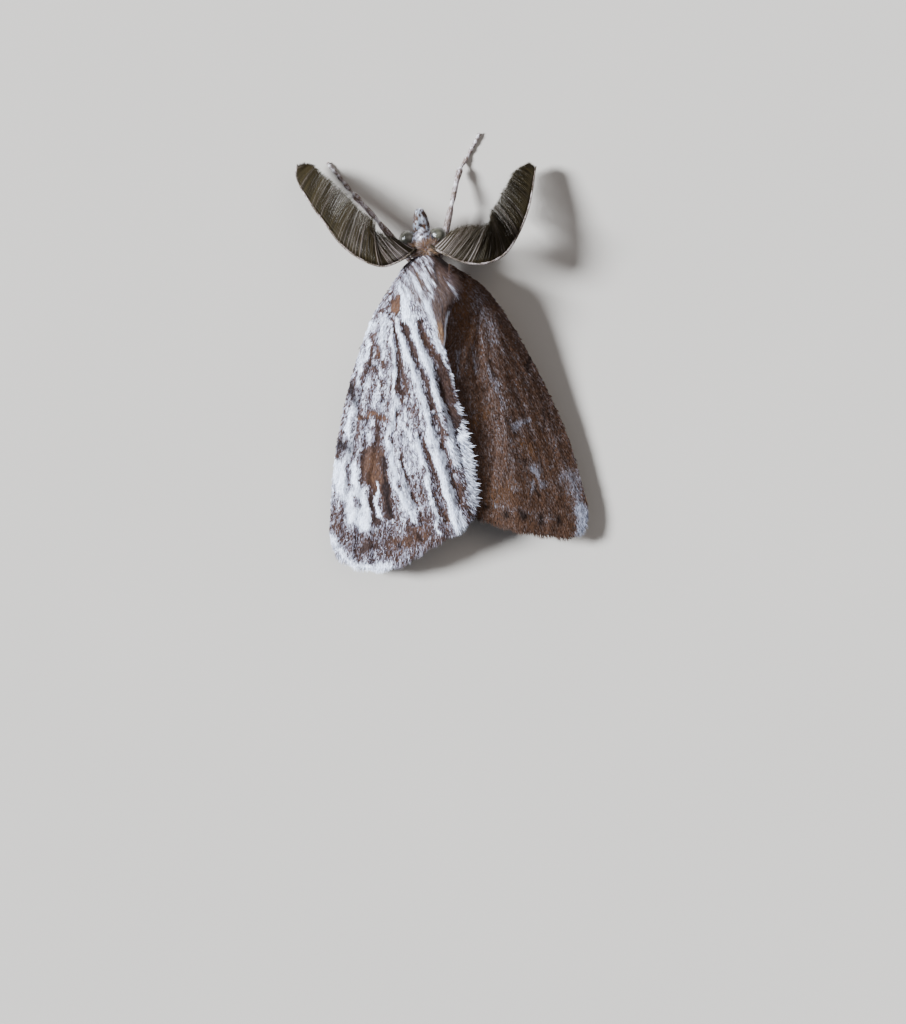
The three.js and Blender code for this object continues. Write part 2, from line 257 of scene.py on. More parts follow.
def closed_tube(rings: Array, marks: dict[str, Array] | None = None) -> Shape:
    """A closed skin through rings of points, with a pole in the middle of each end.

    Args:
        rings: Points by row, then round each ring, which turns anticlockwise seen from the far end.
        marks: Values by row and round each ring.

    Returns:
        The shape, its first and last points being the poles.
    """
    rows, sides = rings.shape[:2]
    points = np.vstack([rings[:1].mean(1), rings.reshape(-1, 3), rings[-1:].mean(1)])
    index = 1 + np.arange(rows * sides).reshape(rows, sides)
    quads, after = round_quads(index)
    pole = np.zeros(sides, int)
    first = np.stack([pole, after[0], index[0]], -1)
    last = np.stack([pole + len(points) - 1, index[-1], after[-1]], -1)
    around = {}
    for name, value in (marks or {}).items():
        around[name] = np.r_[value[0].mean(), value.ravel(), value[-1].mean()]
    return Shape(points, [quads, np.vstack([first, last])], around)


def closed_plate(top: Array, under: Array, marks: dict[str, Array]) -> Shape:
    """A closed plate between two grids of points, stitched round their borders.

    Args:
        top: Upper points by row and column, whose rows turn anticlockwise into the columns.
        under: Lower points, in the same order.
        marks: Values by row and column, shared by both faces.

    Returns:
        The shape.
    """
    rows, columns = top.shape[:2]
    size = rows * columns
    index = np.arange(size).reshape(rows, columns)
    face = np.stack([index[:-1, :-1], index[1:, :-1], index[1:, 1:], index[:-1, 1:]], -1).reshape(-1, 4)
    border = np.r_[index[:-1, 0], index[-1, :-1], index[:0:-1, -1], index[0, :0:-1]]
    below = border + size
    wall = np.stack([border, below, np.roll(below, -1), np.roll(border, -1)], -1)
    points = np.vstack([top.reshape(-1, 3), under.reshape(-1, 3)])
    both = {name: np.r_[value.ravel(), value.ravel()] for name, value in marks.items()}
    return Shape(points, [face, (face + size)[:, ::-1], wall], both)


@dataclass
class Roots:
    """Where tufts grow: places, the way they lie, the skin's outward side, bake places and marks."""

    place: Array
    lie: Array
    out: Array
    bake: Array
    marks: dict[str, Array]

    def stray(self, rng: np.random.Generator, amount: float) -> Array:
        """Random vectors, one for each tuft, that loosen the way it lies."""
        return amount * rng.standard_normal((len(self.place), 3))

    def pick(self, chosen: Array) -> "Roots":
        """The chosen roots alone."""
        marks = {name: value[chosen] for name, value in self.marks.items()}
        return Roots(self.place[chosen], self.lie[chosen], self.out[chosen], self.bake[chosen], marks)

    def axes(self, lift: Array | float) -> tuple[Array, Array, Array]:
        """Each tuft's own axes.

        Args:
            lift: Angle in radians by which a tuft stands off the skin.

        Returns:
            The tuft's way, the side to its left and the direction out of its back.
        """
        out = unit(self.out)
        flat = unit(self.lie - (self.lie * out).sum(-1, keepdims=True) * out)
        side = np.cross(out, flat)
        angle = np.broadcast_to(np.asarray(lift, float), (len(flat),))[:, None]
        way = flat * np.cos(angle) + out * np.sin(angle)
        return way, side, np.cross(way, side)

    def patches(self, sway: Array, share: Array) -> tuple[Array, dict[str, Array]]:
        """What the points of each tuft carry.

        Args:
            sway: Sideways place of a tuft's points, from -0.5 to 0.5.
            share: Their places from the root, 0, to the tip, 1.

        Returns:
            Bake places, a small patch for each tuft, and the marks repeated with the share as "tip".
        """
        offset = np.stack([sway, share - 0.5], -1) * BAKE_PATCH
        bake = (self.bake[:, None] + offset).reshape(-1, 2)
        marks = {name: np.repeat(value, len(share)) for name, value in self.marks.items()}
        marks["tip"] = np.tile(share, len(self.place))
        return bake, marks


def lancets(roots: Roots, length: Array, width: Array, lift: Array | float, arch: float = 0.014) -> Shape:
    """Flat pointed scales, each a thin closed solid with its two shoulders arched over root and tip.

    A corner is the root, plus its share of the length along the way, of the width to the side, and of the
    arch out of the back.

    Args:
        roots: Where they grow.
        length: Length of each.
        width: Width of each at its shoulders.
        lift: Angle in radians by which each stands off the skin.
        arch: Height of the shoulders over the root.

    Returns:
        The scales, joined.
    """
    way, side, back = roots.axes(lift)
    share = np.array([0.0, 0.62, 0.62, 1.0])
    sway = np.array([0.0, -0.5, 0.5, 0.0])
    rise = np.array([-1.0, 1.0, 1.0, 0.0]) * arch
    points = (
        roots.place[:, None]
        + (np.asarray(length)[:, None] * share)[..., None] * way[:, None]
        + (np.asarray(width)[:, None] * sway)[..., None] * side[:, None]
        + rise[:, None] * back[:, None]
    )
    corners = np.array([[0, 1, 2], [1, 3, 2], [0, 3, 1], [0, 2, 3]])
    faces = (corners + 4 * np.arange(len(way))[:, None, None]).reshape(-1, 3)
    bake, marks = roots.patches(sway, share)
    return Shape(points.reshape(-1, 3), [faces], marks, bake)


def spikes(
    roots: Roots,
    length: Array,
    radius: Array,
    lift: Array | float = 0.0,
    bend: Array | float = 0.0,
    rings: int = 2,
    sides: int = 3,
    flat: float = 1.0,
) -> Shape:
    """Tapering hairs, each a closed solid along an arc.

    The middle of a ring at share s is the root plus the length times (s along the way, and s squared along
    the bend). The ring's radius shrinks with 1 minus s squared.

    Args:
        roots: Where they grow.
        length: Length of each.
        radius: Radius of each at its root.
        lift: Angle in radians by which each stands off the skin at its root.
        bend: Vector of each hair's bend as a share of its length, or how far it bends back to the skin.
        rings: Rings of points before the tip.
        sides: Points round a ring.
        flat: Thickness over width.

    Returns:
        The hairs, joined.
    """
    way, side, back = roots.axes(lift)
    turn = bend if isinstance(bend, np.ndarray) else -bend * unit(roots.out)
    count, size = len(way), rings * sides + 1
    s = np.append(np.arange(rings) / rings, 1.0)
    length, radius = np.broadcast_to(length, (count,)), np.broadcast_to(radius, (count,))
    centre = way[:, None] * s[:, None] + turn[:, None] * (s**2)[:, None]
    centre = roots.place[:, None] + centre * length[:, None, None]
    angle = 2 * np.pi * (np.arange(sides) + 0.5) / sides
    ring = circles(angle, side, back, flat)
    thick = radius[:, None] * (1 - s[:-1] ** 2)
    body = centre[:, :-1, None] + thick[..., None, None] * ring[:, None]
    points = np.concatenate([body.reshape(count, -1, 3), centre[:, -1:]], axis=1)
    index = np.arange(rings * sides).reshape(rings, sides)
    quads, after = round_quads(index)
    tips = np.stack([index[-1], after[-1], np.full(sides, size - 1)], -1)
    start = size * np.arange(count)[:, None, None]
    faces = [(f + start).reshape(-1, f.shape[-1]) for f in (quads, tips, index[:1, ::-1])]
    share = np.append(np.repeat(s[:-1], sides), 1.0)
    sway = np.append(np.tile(0.5 * np.cos(angle), rings), 0.0)
    bake, marks = roots.patches(sway, share)
    return Shape(points.reshape(-1, 3), faces, marks, bake)


def added(name: str, data: bpy.types.ID) -> bpy.types.Object:
    """An object of the data, in the scene at the origin."""
    made = bpy.data.objects.new(name, data)
    bpy.context.scene.collection.objects.link(made)
    return made


def make_piece(
    name: str,
    shape: Shape,
    material: bpy.types.Material,
    nodes: tuple[str, ...] = (),
    smooth: bool = True,
) -> None:
    """Turns a shape into an object that rides on the model's one body.

    Args:
        name: The piece's name.
        shape: Its mesh, in millimetres and stations.
        material: Its finish.
        nodes: CAD nodes that the piece stands for.
        smooth: Whether its faces are shaded smooth.
    """
    place = (shape.points + (0.0, NECK, 0.0)) * MM
    corners = np.concatenate([f.ravel() for f in shape.faces]).astype(np.int32)
    sizes = np.concatenate([np.full(len(f), f.shape[1]) for f in shape.faces])
    mesh = bpy.data.meshes.new(name)
    mesh.vertices.add(len(place))
    mesh.vertices.foreach_set("co", place.ravel())
    mesh.loops.add(len(corners))
    mesh.loops.foreach_set("vertex_index", corners)
    mesh.polygons.add(len(sizes))
    mesh.polygons.foreach_set("loop_start", (np.cumsum(sizes) - sizes).astype(np.int32))
    mesh.polygons.foreach_set("use_smooth", np.full(len(sizes), smooth))
    mesh.update(calc_edges=True)
    for mark, value in shape.marks.items():
        mesh.attributes.new(mark, "FLOAT", "POINT").data.foreach_set("value", value.astype(np.float32))
    if shape.bake is not None:
        layer = mesh.uv_layers.new(name="OFBake")
        layer.data.foreach_set("uv", shape.bake[corners].astype(np.float32).ravel())
    mesh.validate()
    mesh.materials.append(material)
    made = added(name, mesh)
    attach(made, "root")
    if nodes:
        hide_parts(*nodes)
    logging.info("%-32s %7d triangles", name, (sizes - 2).sum())


# ------------------------------------------------------------------ finishes


class Value:
    """A number's socket in a material, on which sums and products add Math nodes."""

    def __init__(self, graph: "Graph", socket: bpy.types.NodeSocket) -> None:
        """Wraps a socket of a graph."""
        self.graph, self.socket = graph, socket

    def _math(self, operation: str, *values: "Value | float") -> "Value":
        """A Math node on the values."""
        return self.graph.add("ShaderNodeMath", {"operation": operation}, dict(enumerate(values)))

    def __add__(self, other: "Value | float") -> "Value":
        """Sum."""
        return self._math("ADD", self, other)

    def __sub__(self, other: "Value | float") -> "Value":
        """Difference."""
        return self._math("SUBTRACT", self, other)

    def __rsub__(self, other: float) -> "Value":
        """Difference from a number."""
        return self._math("SUBTRACT", other, self)

    def __mul__(self, other: "Value | float") -> "Value":
        """Product."""
        return self._math("MULTIPLY", self, other)

    __radd__ = __add__
    __rmul__ = __mul__

    def clamped(self) -> "Value":
        """The value, kept between 0 and 1."""
        return self._math("MINIMUM", self._math("MAXIMUM", self, 0.0), 1.0)


class Graph:
    """The nodes of one material, with its Principled shader."""

    def __init__(self, name: str, **constants: float) -> None:
        """Starts a material whose shader has the given constants.

        Args:
            name: The material's name.
            constants: Values of shader sockets, with _ for the space in their names.
        """
        self.material = bpy.data.materials.new(name)
        self.material.use_nodes = True
        self.nodes = self.material.node_tree.nodes
        self.shader = self.nodes["Principled BSDF"]
        for socket, value in constants.items():
            self.shader.inputs[socket.replace("_", " ")].default_value = value

    def add(self, kind: str, settings: dict, inputs: dict, output: int = 0) -> Value:
        """Adds a node.

        Args:
            kind: The node's type.
            settings: Its settings, which are set first.
            inputs: Numbers, colours or sockets for its inputs, by name or index.
            output: Index of the output that is wanted.

        Returns:
            That output.
        """
        node = self.nodes.new(kind)
        for setting, value in settings.items():
            setattr(node, setting, value)
        for key, value in inputs.items():
            self.feed(node.inputs[key], value)
        return Value(self, node.outputs[output])

    def feed(self, socket: bpy.types.NodeSocket, value: "Value | float | Colour") -> None:
        """Links a value to a socket, or sets the socket to a number or colour."""
        if isinstance(value, Value):
            self.material.node_tree.links.new(value.socket, socket)
        elif isinstance(value, tuple) and len(socket.default_value) == 4:
            socket.default_value = (*value, 1.0)
        else:
            socket.default_value = value

    def mark(self, name: str) -> Value:
        """A mark that the piece's points carry."""
        return self.add("ShaderNodeAttribute", {"attribute_name": name}, {}, output=2)

    def mix(self, factor: Value | float, first: "Value | Colour", second: "Value | Colour") -> Value:
        """A colour between two colours."""
        inputs = {0: factor, 6: first, 7: second}
        return self.add("ShaderNodeMix", {"data_type": "RGBA", "clamp_factor": True}, inputs, output=2)

    def scaled(self, colour: Value, by: Value) -> Value:
        """A colour made darker or lighter."""
        return self.add("ShaderNodeVectorMath", {"operation": "SCALE"}, {"Vector": colour, "Scale": by})

    def grain(self, scale: float, detail: float = 2.0) -> Value:
        """Noise fixed to the model, with its scale in turns for each metre."""
        place = self.add("ShaderNodeTexCoord", {}, {}, output=3)
        return self.add("ShaderNodeTexNoise", {}, {"Vector": place, "Scale": scale, "Detail": detail})

    def bump(self, height: Value, distance: float) -> None:
        """Roughens the surface by a height, over a distance in metres."""
        inputs = {"Height": height, "Distance": distance, "Strength": 1.0}
        self.feed(self.shader.inputs["Normal"], self.add("ShaderNodeBump", {}, inputs))


@dataclass(frozen=True)
class CoatFinish:
    """Scales and hairs: a brown ground, ochre, dark and frosted parts, with luck of each tuft's own.

    Reach and speckle say how much frost and luck count, contrast how sharply pale parts from brown.
    """

    name: str
    ground: Colour
    umber: Colour
    ochre: Colour
    dark: Colour
    frost: Colour
    haze: Colour = (0.40, 0.34, 0.36)
    roughness: float = 0.55
    contrast: float = 3.0
    tip_gain: float = 0.2
    relief: float = 0.0
    reach: float = 1.0
    speckle: float = 0.7
    gloss: float = 0.15

    def material(self) -> bpy.types.Material:
        """Builds the material.

        A tuft is pale where the frost mark, less a share of its luck, is over a low value, and then hazy or
        frosted by chance. Its lightness varies with a fine grain and towards its tip.

        Returns:
            The material.
        """
        g = Graph(self.name, Specular_IOR_Level=self.gloss, Sheen_Weight=0.02, Sheen_Roughness=0.4)
        luck, chance, tip = g.mark("luck"), g.mark("chance"), g.mark("tip")
        dark, ochre, frost = g.mark("dark"), g.mark("ochre"), g.mark("frost")
        fine = g.grain(9000.0)
        brown = g.mix(chance * 0.75 + fine * 0.25, self.umber, self.ground)
        brown = g.mix(ochre * (0.55 + 0.45 * chance), brown, self.ochre)
        brown = g.mix(dark * 0.96, brown, self.dark)
        pale = (frost * self.reach - luck * self.speckle - 0.1) * self.contrast + 0.3 + fine * 0.4
        pale = pale.clamped() * (1.0 - dark * 0.9)
        white = g.mix((chance * 0.6 + frost * 1.3 - 0.75).clamped(), self.haze, self.frost)
        colour = g.mix(pale, brown, white)
        light = 0.74 + 0.28 * chance + fine * 0.16 + tip * self.tip_gain
        g.feed(g.shader.inputs["Base Color"], g.scaled(colour, light))
        g.feed(g.shader.inputs["Roughness"], self.roughness - pale * 0.18)
        if self.relief:
            g.bump(g.grain(16000.0, 3.0), self.relief * MM)
        return g.material


@dataclass(frozen=True)
class EyeFinish:
    """A glossy compound eye, mottled in two dark tones, with darker seams between its facets."""

    name: str = "eye_facets"
    light: Colour = (0.125, 0.118, 0.082)
    shade: Colour = (0.022, 0.019, 0.014)

    def material(self) -> bpy.types.Material:
        """The material of an eye."""
        g = Graph(self.name, Specular_IOR_Level=0.6, Coat_Weight=0.8, Coat_Roughness=0.12)
        mottle = g.grain(2600.0, 3.0)
        facet = g.mark("facet")
        colour = g.mix((mottle * 1.6 - 0.35).clamped(), self.shade, self.light)
        g.feed(g.shader.inputs["Base Color"], g.scaled(colour, 0.45 + 0.75 * facet))
        g.feed(g.shader.inputs["Roughness"], 0.34 - 0.1 * facet)
        return g.material


@dataclass(frozen=True)
class ChitinFinish:
    """Bare brown horn of claws, spurs and tongue."""

    name: str = "bare_horn"
    light: Colour = (0.16, 0.08, 0.035)
    shade: Colour = (0.05, 0.022, 0.012)

    def material(self) -> bpy.types.Material:
        """The material of bare horn."""
        g = Graph(self.name, Specular_IOR_Level=0.5, Coat_Weight=0.3)
        cloud = g.grain(5200.0, 3.0)
        g.feed(g.shader.inputs["Base Color"], g.mix((cloud * 1.8 - 0.4).clamped(), self.shade, self.light))
        g.feed(g.shader.inputs["Roughness"], 0.28 + 0.2 * cloud)
        return g.material


@dataclass(frozen=True)
class FloorFinish:
    """Pale matt board."""

    name: str = "pale_board"
    colour: Colour = (0.498, 0.458, 0.417)
    shade: Colour = (0.463, 0.426, 0.388)

    def material(self) -> bpy.types.Material:
        """The material of the floor."""
        g = Graph(self.name, Specular_IOR_Level=0.2, Roughness=0.85)
        g.feed(g.shader.inputs["Base Color"], g.mix(g.grain(60.0), self.shade, self.colour))
        return g.material


LILAC = (0.80, 0.85, 0.99)
# Lit and shaded copies of one forewing finish: the left's bright frost and haze are painted light, the
# right's dim frost, dim haze and warmer browns are painted shade.
WING_PAINTED_LIGHT = CoatFinish(
    "left_forewing_scales_painted_light", (0.055, 0.034, 0.030), (0.020, 0.012, 0.011), (0.120, 0.060, 0.034),
    (0.010, 0.006, 0.006), LILAC, (0.245, 0.235, 0.300), roughness=0.62, relief=0.012, contrast=2.4,
    reach=1.35, speckle=1.05, gloss=0.04,
)
WING_PAINTED_SHADE = CoatFinish(
    "right_forewing_scales_painted_shade", (0.070, 0.039, 0.029), (0.034, 0.019, 0.014), (0.098, 0.046, 0.021),
    (0.012, 0.008, 0.007), (0.26, 0.275, 0.35), (0.105, 0.080, 0.076), roughness=0.62, relief=0.012,
    contrast=2.4, reach=1.35, speckle=0.9, gloss=0.04,
)
HINDWING = CoatFinish(
    "hindwing_scales", (0.36, 0.30, 0.26), (0.24, 0.19, 0.16), (0.36, 0.25, 0.15), (0.06, 0.045, 0.04),
    (0.62, 0.60, 0.58), relief=0.010,
)
FUR = CoatFinish(
    "body_fur", (0.066, 0.043, 0.042), (0.030, 0.018, 0.017), (0.22, 0.12, 0.06), (0.02, 0.013, 0.012), LILAC,
    (0.25, 0.23, 0.28), roughness=0.58, tip_gain=0.3, relief=0.02, contrast=2.6, reach=1.3, speckle=0.8,
)
TUFT = CoatFinish(
    "head_fur", (0.30, 0.22, 0.16), (0.18, 0.115, 0.075), (0.34, 0.20, 0.11), (0.05, 0.03, 0.02),
    (0.66, 0.60, 0.54), roughness=0.66, tip_gain=0.3,
)
PALP = CoatFinish(
    "palp_scales", (0.20, 0.13, 0.10), (0.09, 0.055, 0.042), (0.24, 0.12, 0.065), (0.03, 0.018, 0.015),
    (0.70, 0.75, 0.84), (0.34, 0.34, 0.38), relief=0.01,
)
LEG = CoatFinish(
    "leg_scales", (0.22, 0.16, 0.13), (0.10, 0.066, 0.05), (0.28, 0.18, 0.11), (0.03, 0.02, 0.018),
    (0.66, 0.64, 0.65), relief=0.01,
)
PLUME = CoatFinish(
    "plume_barbs", (0.024, 0.017, 0.008), (0.012, 0.008, 0.005), (0.036, 0.027, 0.011), (0.010, 0.007, 0.005),
    (0.46, 0.41, 0.42), (0.20, 0.16, 0.14), roughness=0.45, tip_gain=0.9, gloss=0.08,
)


# ------------------------------------------------------------------ the folded wings


@dataclass(frozen=True)
class Roof:
    """How the folded wings lie: a low roof over the body whose ridge falls backwards.

    The height at x is the ridge's, less its height over the eaves times the share of the way to them, where
    the way is the square root of x squared plus the rounding squared, less the rounding.
    """

    at_neck: float = 4.25
    fall: float = 0.118
    rounding: float = 1.2
    eaves: float = 0.9
    eaves_rise: float = 2.3
    eaves_run: float = 5.0
    half_width: float = 7.6
    widening: float = 6.4
    layer: float = 0.34

    def ridge(self, station: Array) -> Array:
        """Height of the ridge."""
        return self.at_neck - self.fall * station

    def off_ridge(self, x: Array) -> Array:
        """Rounded distance from the ridge."""
        return np.hypot(x, self.rounding) - self.rounding

    def height(self, x: Array, station: Array) -> Array:
        """Height of the roof.

        Args:
            x: Place across the body.
            station: Place along it.

        Returns:
            The height over the ground.
        """
        run = np.maximum(station, 0.0) / self.eaves_run
        edge = self.eaves + self.eaves_rise * np.exp(-(run**1.5))
        half = self.half_width * (1 - np.exp(-(station + 0.6) / self.widening))
        share = self.off_ridge(x) / self.off_ridge(half)
        return self.ridge(station) - (self.ridge(station) - edge) * share

    def tuck(self, x: Array, station: Array) -> Array:
        """How far a right-hand layer is lowered where the left wing lies on it."""
        return self.layer * smoothstep(-3.5, -1.8, x) * smoothstep(2.6, 4.2, station)


ROOF = Roof()


class Tone(Enum):
    """What a streak adds to: frosting, dark scales or ochre scales."""

    FROST = "frost"
    DARK = "dark"
    OCHRE = "ochre"


@dataclass(frozen=True)
class Streak:
    """A soft streak or spot on a wing, through places across and along it."""

    tone: Tone
    strength: float
    width: float
    places: Line


def streaks(tone: Tone, *rows: tuple[float, float, Line]) -> tuple[Streak, ...]:
    """Streaks of one tone, from rows of strength, width and places."""
    return tuple(Streak(tone, *row) for row in rows)


def paint(tones: dict[Tone, Array], flat: Array, marks: list[tuple[Streak, Array]]) -> dict[str, Array]:
    """Adds streaks to base tones.

    Args:
        tones: The base of each tone.
        flat: Places on the plan, one row each.
        marks: Streaks with their lines on the plan.

    Returns:
        Values of frost, dark and ochre between 0 and 1. Dark streaks cover, the others add up.
    """
    for streak, line in marks:
        amount = streak.strength * nearness(flat, line, streak.width)
        if streak.tone is Tone.DARK:
            tones[Tone.DARK] = np.maximum(tones[Tone.DARK], amount)
        else:
            tones[streak.tone] = tones[streak.tone] + amount
    return {tone.value: np.clip(value, 0.0, 1.0) for tone, value in tones.items()}


# Raised pleats and the valleys between them, from the root towards the outer margin. A pair holds the share
# of the way across, from the leading edge to the inner margin, then the share of the way along.
RIDGES: tuple[Line, ...] = (
    ((0.10, 0.10), (0.10, 0.50), (0.12, 0.95)),
    ((0.19, 0.16), (0.20, 0.50), (0.22, 0.95)),
    ((0.305, 0.205), (0.375, 0.28), (0.405, 0.36), (0.43, 0.44), (0.43, 0.50), (0.41, 0.56), (0.41, 0.63),
     (0.43, 0.68), (0.47, 0.75), (0.52, 0.81), (0.555, 0.87)),
    ((0.31, 0.45), (0.28, 0.70), (0.31, 0.95)),
    ((0.39, 0.185), (0.475, 0.24), (0.56, 0.315), (0.625, 0.395), (0.67, 0.47), (0.70, 0.545), (0.715, 0.625),
     (0.74, 0.695), (0.755, 0.765), (0.765, 0.835), (0.78, 0.905), (0.80, 0.98)),
    ((0.56, 0.17), (0.655, 0.22), (0.70, 0.285), (0.74, 0.355), (0.78, 0.43), (0.805, 0.50), (0.825, 0.585),
     (0.83, 0.66), (0.84, 0.75)),
    ((0.45, 0.58), (0.475, 0.67), (0.51, 0.75), (0.55, 0.815), (0.58, 0.88)),
    ((0.60, 0.60), (0.63, 0.67), (0.66, 0.755), (0.67, 0.835), (0.685, 0.905), (0.71, 0.965)),
)
VALLEYS: tuple[Line, ...] = (
    ((0.77, 0.19), (0.79, 0.26), (0.83, 0.32), (0.855, 0.41), (0.865, 0.515), (0.875, 0.60), (0.90, 0.66)),
    ((0.50, 0.20), (0.57, 0.25), (0.635, 0.32), (0.69, 0.39), (0.74, 0.46), (0.76, 0.52)),
    ((0.33, 0.19), (0.42, 0.25), (0.46, 0.31), (0.49, 0.375), (0.53, 0.45)),
    ((0.47, 0.50), (0.44, 0.58), (0.50, 0.68), (0.54, 0.76), (0.58, 0.83)),
    ((0.65, 0.61), (0.69, 0.69), (0.72, 0.77), (0.735, 0.85), (0.75, 0.93)),
    ((0.76, 0.55), (0.775, 0.62), (0.80, 0.71), (0.815, 0.81), (0.83, 0.89)),
)

LEFT_MARKS = (
    *streaks(
        Tone.FROST,
        (0.50, 0.20, ((0.31, 0.065), (0.46, 0.115), (0.56, 0.17))),
        (0.30, 0.30, ((0.40, 0.05), (0.55, 0.12), (0.66, 0.17))),
        # Frost along the ridges: partly pale scaling on the veins, partly a painted highlight where light
        # falls on the raised pleats.
        (0.80, 0.13, RIDGES[5]),
        (0.70, 0.12, RIDGES[4][:6]),
        (1.10, 0.15, RIDGES[4][5:8]),
        (1.30, 0.24, RIDGES[4][7:]),
        (0.60, 0.11, RIDGES[2][:6]),
        (0.75, 0.11, RIDGES[2][5:]),
        (0.45, 0.09, RIDGES[6]),
        (0.75, 0.10, RIDGES[7]),
        (0.30, 0.10, ((0.52, 0.49), (0.54, 0.56), (0.57, 0.64))),
        (0.35, 0.16, ((0.16, 0.18), (0.22, 0.24), (0.27, 0.33), (0.29, 0.42))),
        (0.45, 0.16, ((0.05, 0.22), (0.08, 0.32), (0.07, 0.43))),
        (0.55, 0.16, ((0.09, 0.50), (0.09, 0.60))),
        (0.40, 0.10, ((0.27, 0.55), (0.28, 0.62))),
        (1.00, 0.26, ((0.05, 0.73), (0.095, 0.76), (0.16, 0.79), (0.22, 0.83), (0.28, 0.86))),
        (0.80, 0.17, ((0.18, 0.68), (0.225, 0.735), (0.26, 0.785), (0.30, 0.84))),
        (2.60, 0.08, ((0.338, 0.72), (0.348, 0.77), (0.365, 0.83))),
        (1.30, 0.07, ((0.955, 0.22), (0.945, 0.33), (0.94, 0.45), (0.94, 0.66), (0.94, 0.80))),
        (0.55, 0.30, ((0.94, 0.70), (0.94, 0.80), (0.92, 0.97))),
        (0.45, 0.10, ((0.89, 0.68), (0.90, 0.76), (0.90, 0.84))),
        (0.70, 0.26, ((0.05, 0.985), (0.21, 0.985), (0.30, 0.985), (0.40, 0.98))),
        # Frost taken away along the valleys: partly brown scaling, partly painted shade in the sunken folds.
        (-0.62, 0.20, VALLEYS[0]),
        (-0.12, 0.26, ((0.91, 0.36), (0.93, 0.49), (0.93, 0.60))),
        (-0.70, 0.12, VALLEYS[1]),
        (-0.60, 0.11, VALLEYS[2]),
        (-0.45, 0.10, VALLEYS[3]),
        (-0.45, 0.10, VALLEYS[4]),
        (-0.55, 0.10, VALLEYS[5]),
        (-0.60, 0.09, ((0.41, 0.31), (0.45, 0.375), (0.46, 0.42), (0.505, 0.485))),
        (-0.45, 0.07, ((0.86, 0.70), (0.87, 0.78), (0.88, 0.87))),
        (-0.45, 0.06, ((0.92, 0.72), (0.93, 0.80), (0.94, 0.88))),
        (-0.60, 0.20, ((0.31, 0.55), (0.32, 0.61))),
        (-1.60, 0.42, ((0.30, 0.645), (0.33, 0.70))),
        (-1.40, 0.20, ((0.31, 0.71), (0.325, 0.78), (0.345, 0.84))),
        (-1.50, 0.20, ((0.375, 0.68), (0.395, 0.75), (0.415, 0.83))),
        (-0.70, 0.14, ((0.21, 0.29), (0.27, 0.32), (0.31, 0.35))),
        (-0.70, 0.14, ((0.21, 0.37), (0.27, 0.39), (0.31, 0.41))),
        (-0.45, 0.10, ((0.11, 0.25), (0.13, 0.34), (0.14, 0.42))),
        (-0.50, 0.13, ((0.195, 0.53), (0.26, 0.515), (0.38, 0.515))),
        (-0.40, 0.22, ((0.27, 0.935), (0.34, 0.905))),
        (-0.22, 0.36, ((0.42, 0.92), (0.52, 0.925), (0.60, 0.93))),
        (-0.05, 0.50, ((0.03, 0.87), (0.18, 0.92), (0.32, 0.92))),
        (-1.00, 0.12, ((0.27, 0.085), (0.29, 0.12), (0.32, 0.16))),
    ),
    *streaks(
        Tone.DARK,
        (0.60, 0.15, VALLEYS[0][2:]),
        (0.50, 0.16, VALLEYS[0][:3]),
        (0.30, 0.07, VALLEYS[1]),
        (1.00, 0.20, ((0.175, 0.355),)),
        (1.00, 0.34, ((0.00, 0.465), (0.06, 0.478), (0.12, 0.492))),
        (0.75, 0.12, ((0.12, 0.49), (0.18, 0.52), (0.25, 0.53))),
        (1.00, 0.42, ((0.00, 0.685), (0.05, 0.665), (0.11, 0.65))),
        (0.85, 0.08, ((0.125, 0.635), (0.185, 0.65), (0.235, 0.655))),
        (1.00, 0.14, ((0.37, 0.65), (0.39, 0.71), (0.405, 0.78), (0.42, 0.84))),
        (0.25, 0.36, ((0.30, 0.64), (0.32, 0.69))),
        (0.55, 0.15, ((0.30, 0.70), (0.32, 0.78), (0.345, 0.85))),
        (1.00, 0.17, ((0.475, 0.925), (0.475, 0.94))),
        (1.00, 0.17, ((0.575, 0.925), (0.575, 0.94))),
        (0.80, 0.09, ((0.88, 0.975),)),
        (0.35, 0.20, ((0.28, 0.94), (0.33, 0.91))),
    ),
    *streaks(
        Tone.OCHRE,
        (0.90, 0.12, ((0.27, 0.085), (0.29, 0.12), (0.32, 0.16))),
        (0.70, 0.40, ((0.30, 0.65), (0.33, 0.74))),
        (0.80, 0.15, ((0.195, 0.53), (0.26, 0.515), (0.38, 0.515))),
        (0.60, 0.14, ((0.525, 0.525),)),
        (0.60, 0.14, ((0.595, 0.525),)),
        (0.60, 0.14, ((0.66, 0.485),)),
        (0.55, 0.14, ((0.735, 0.725),)),
        (0.50, 0.15, ((0.24, 0.30), (0.28, 0.32))),
        (0.30, 0.36, ((0.45, 0.93), (0.60, 0.93))),
        (0.35, 0.15, ((0.64, 0.42), (0.70, 0.54))),
        (0.45, 0.25, ((0.79, 0.24), (0.81, 0.32))),
    ),
)

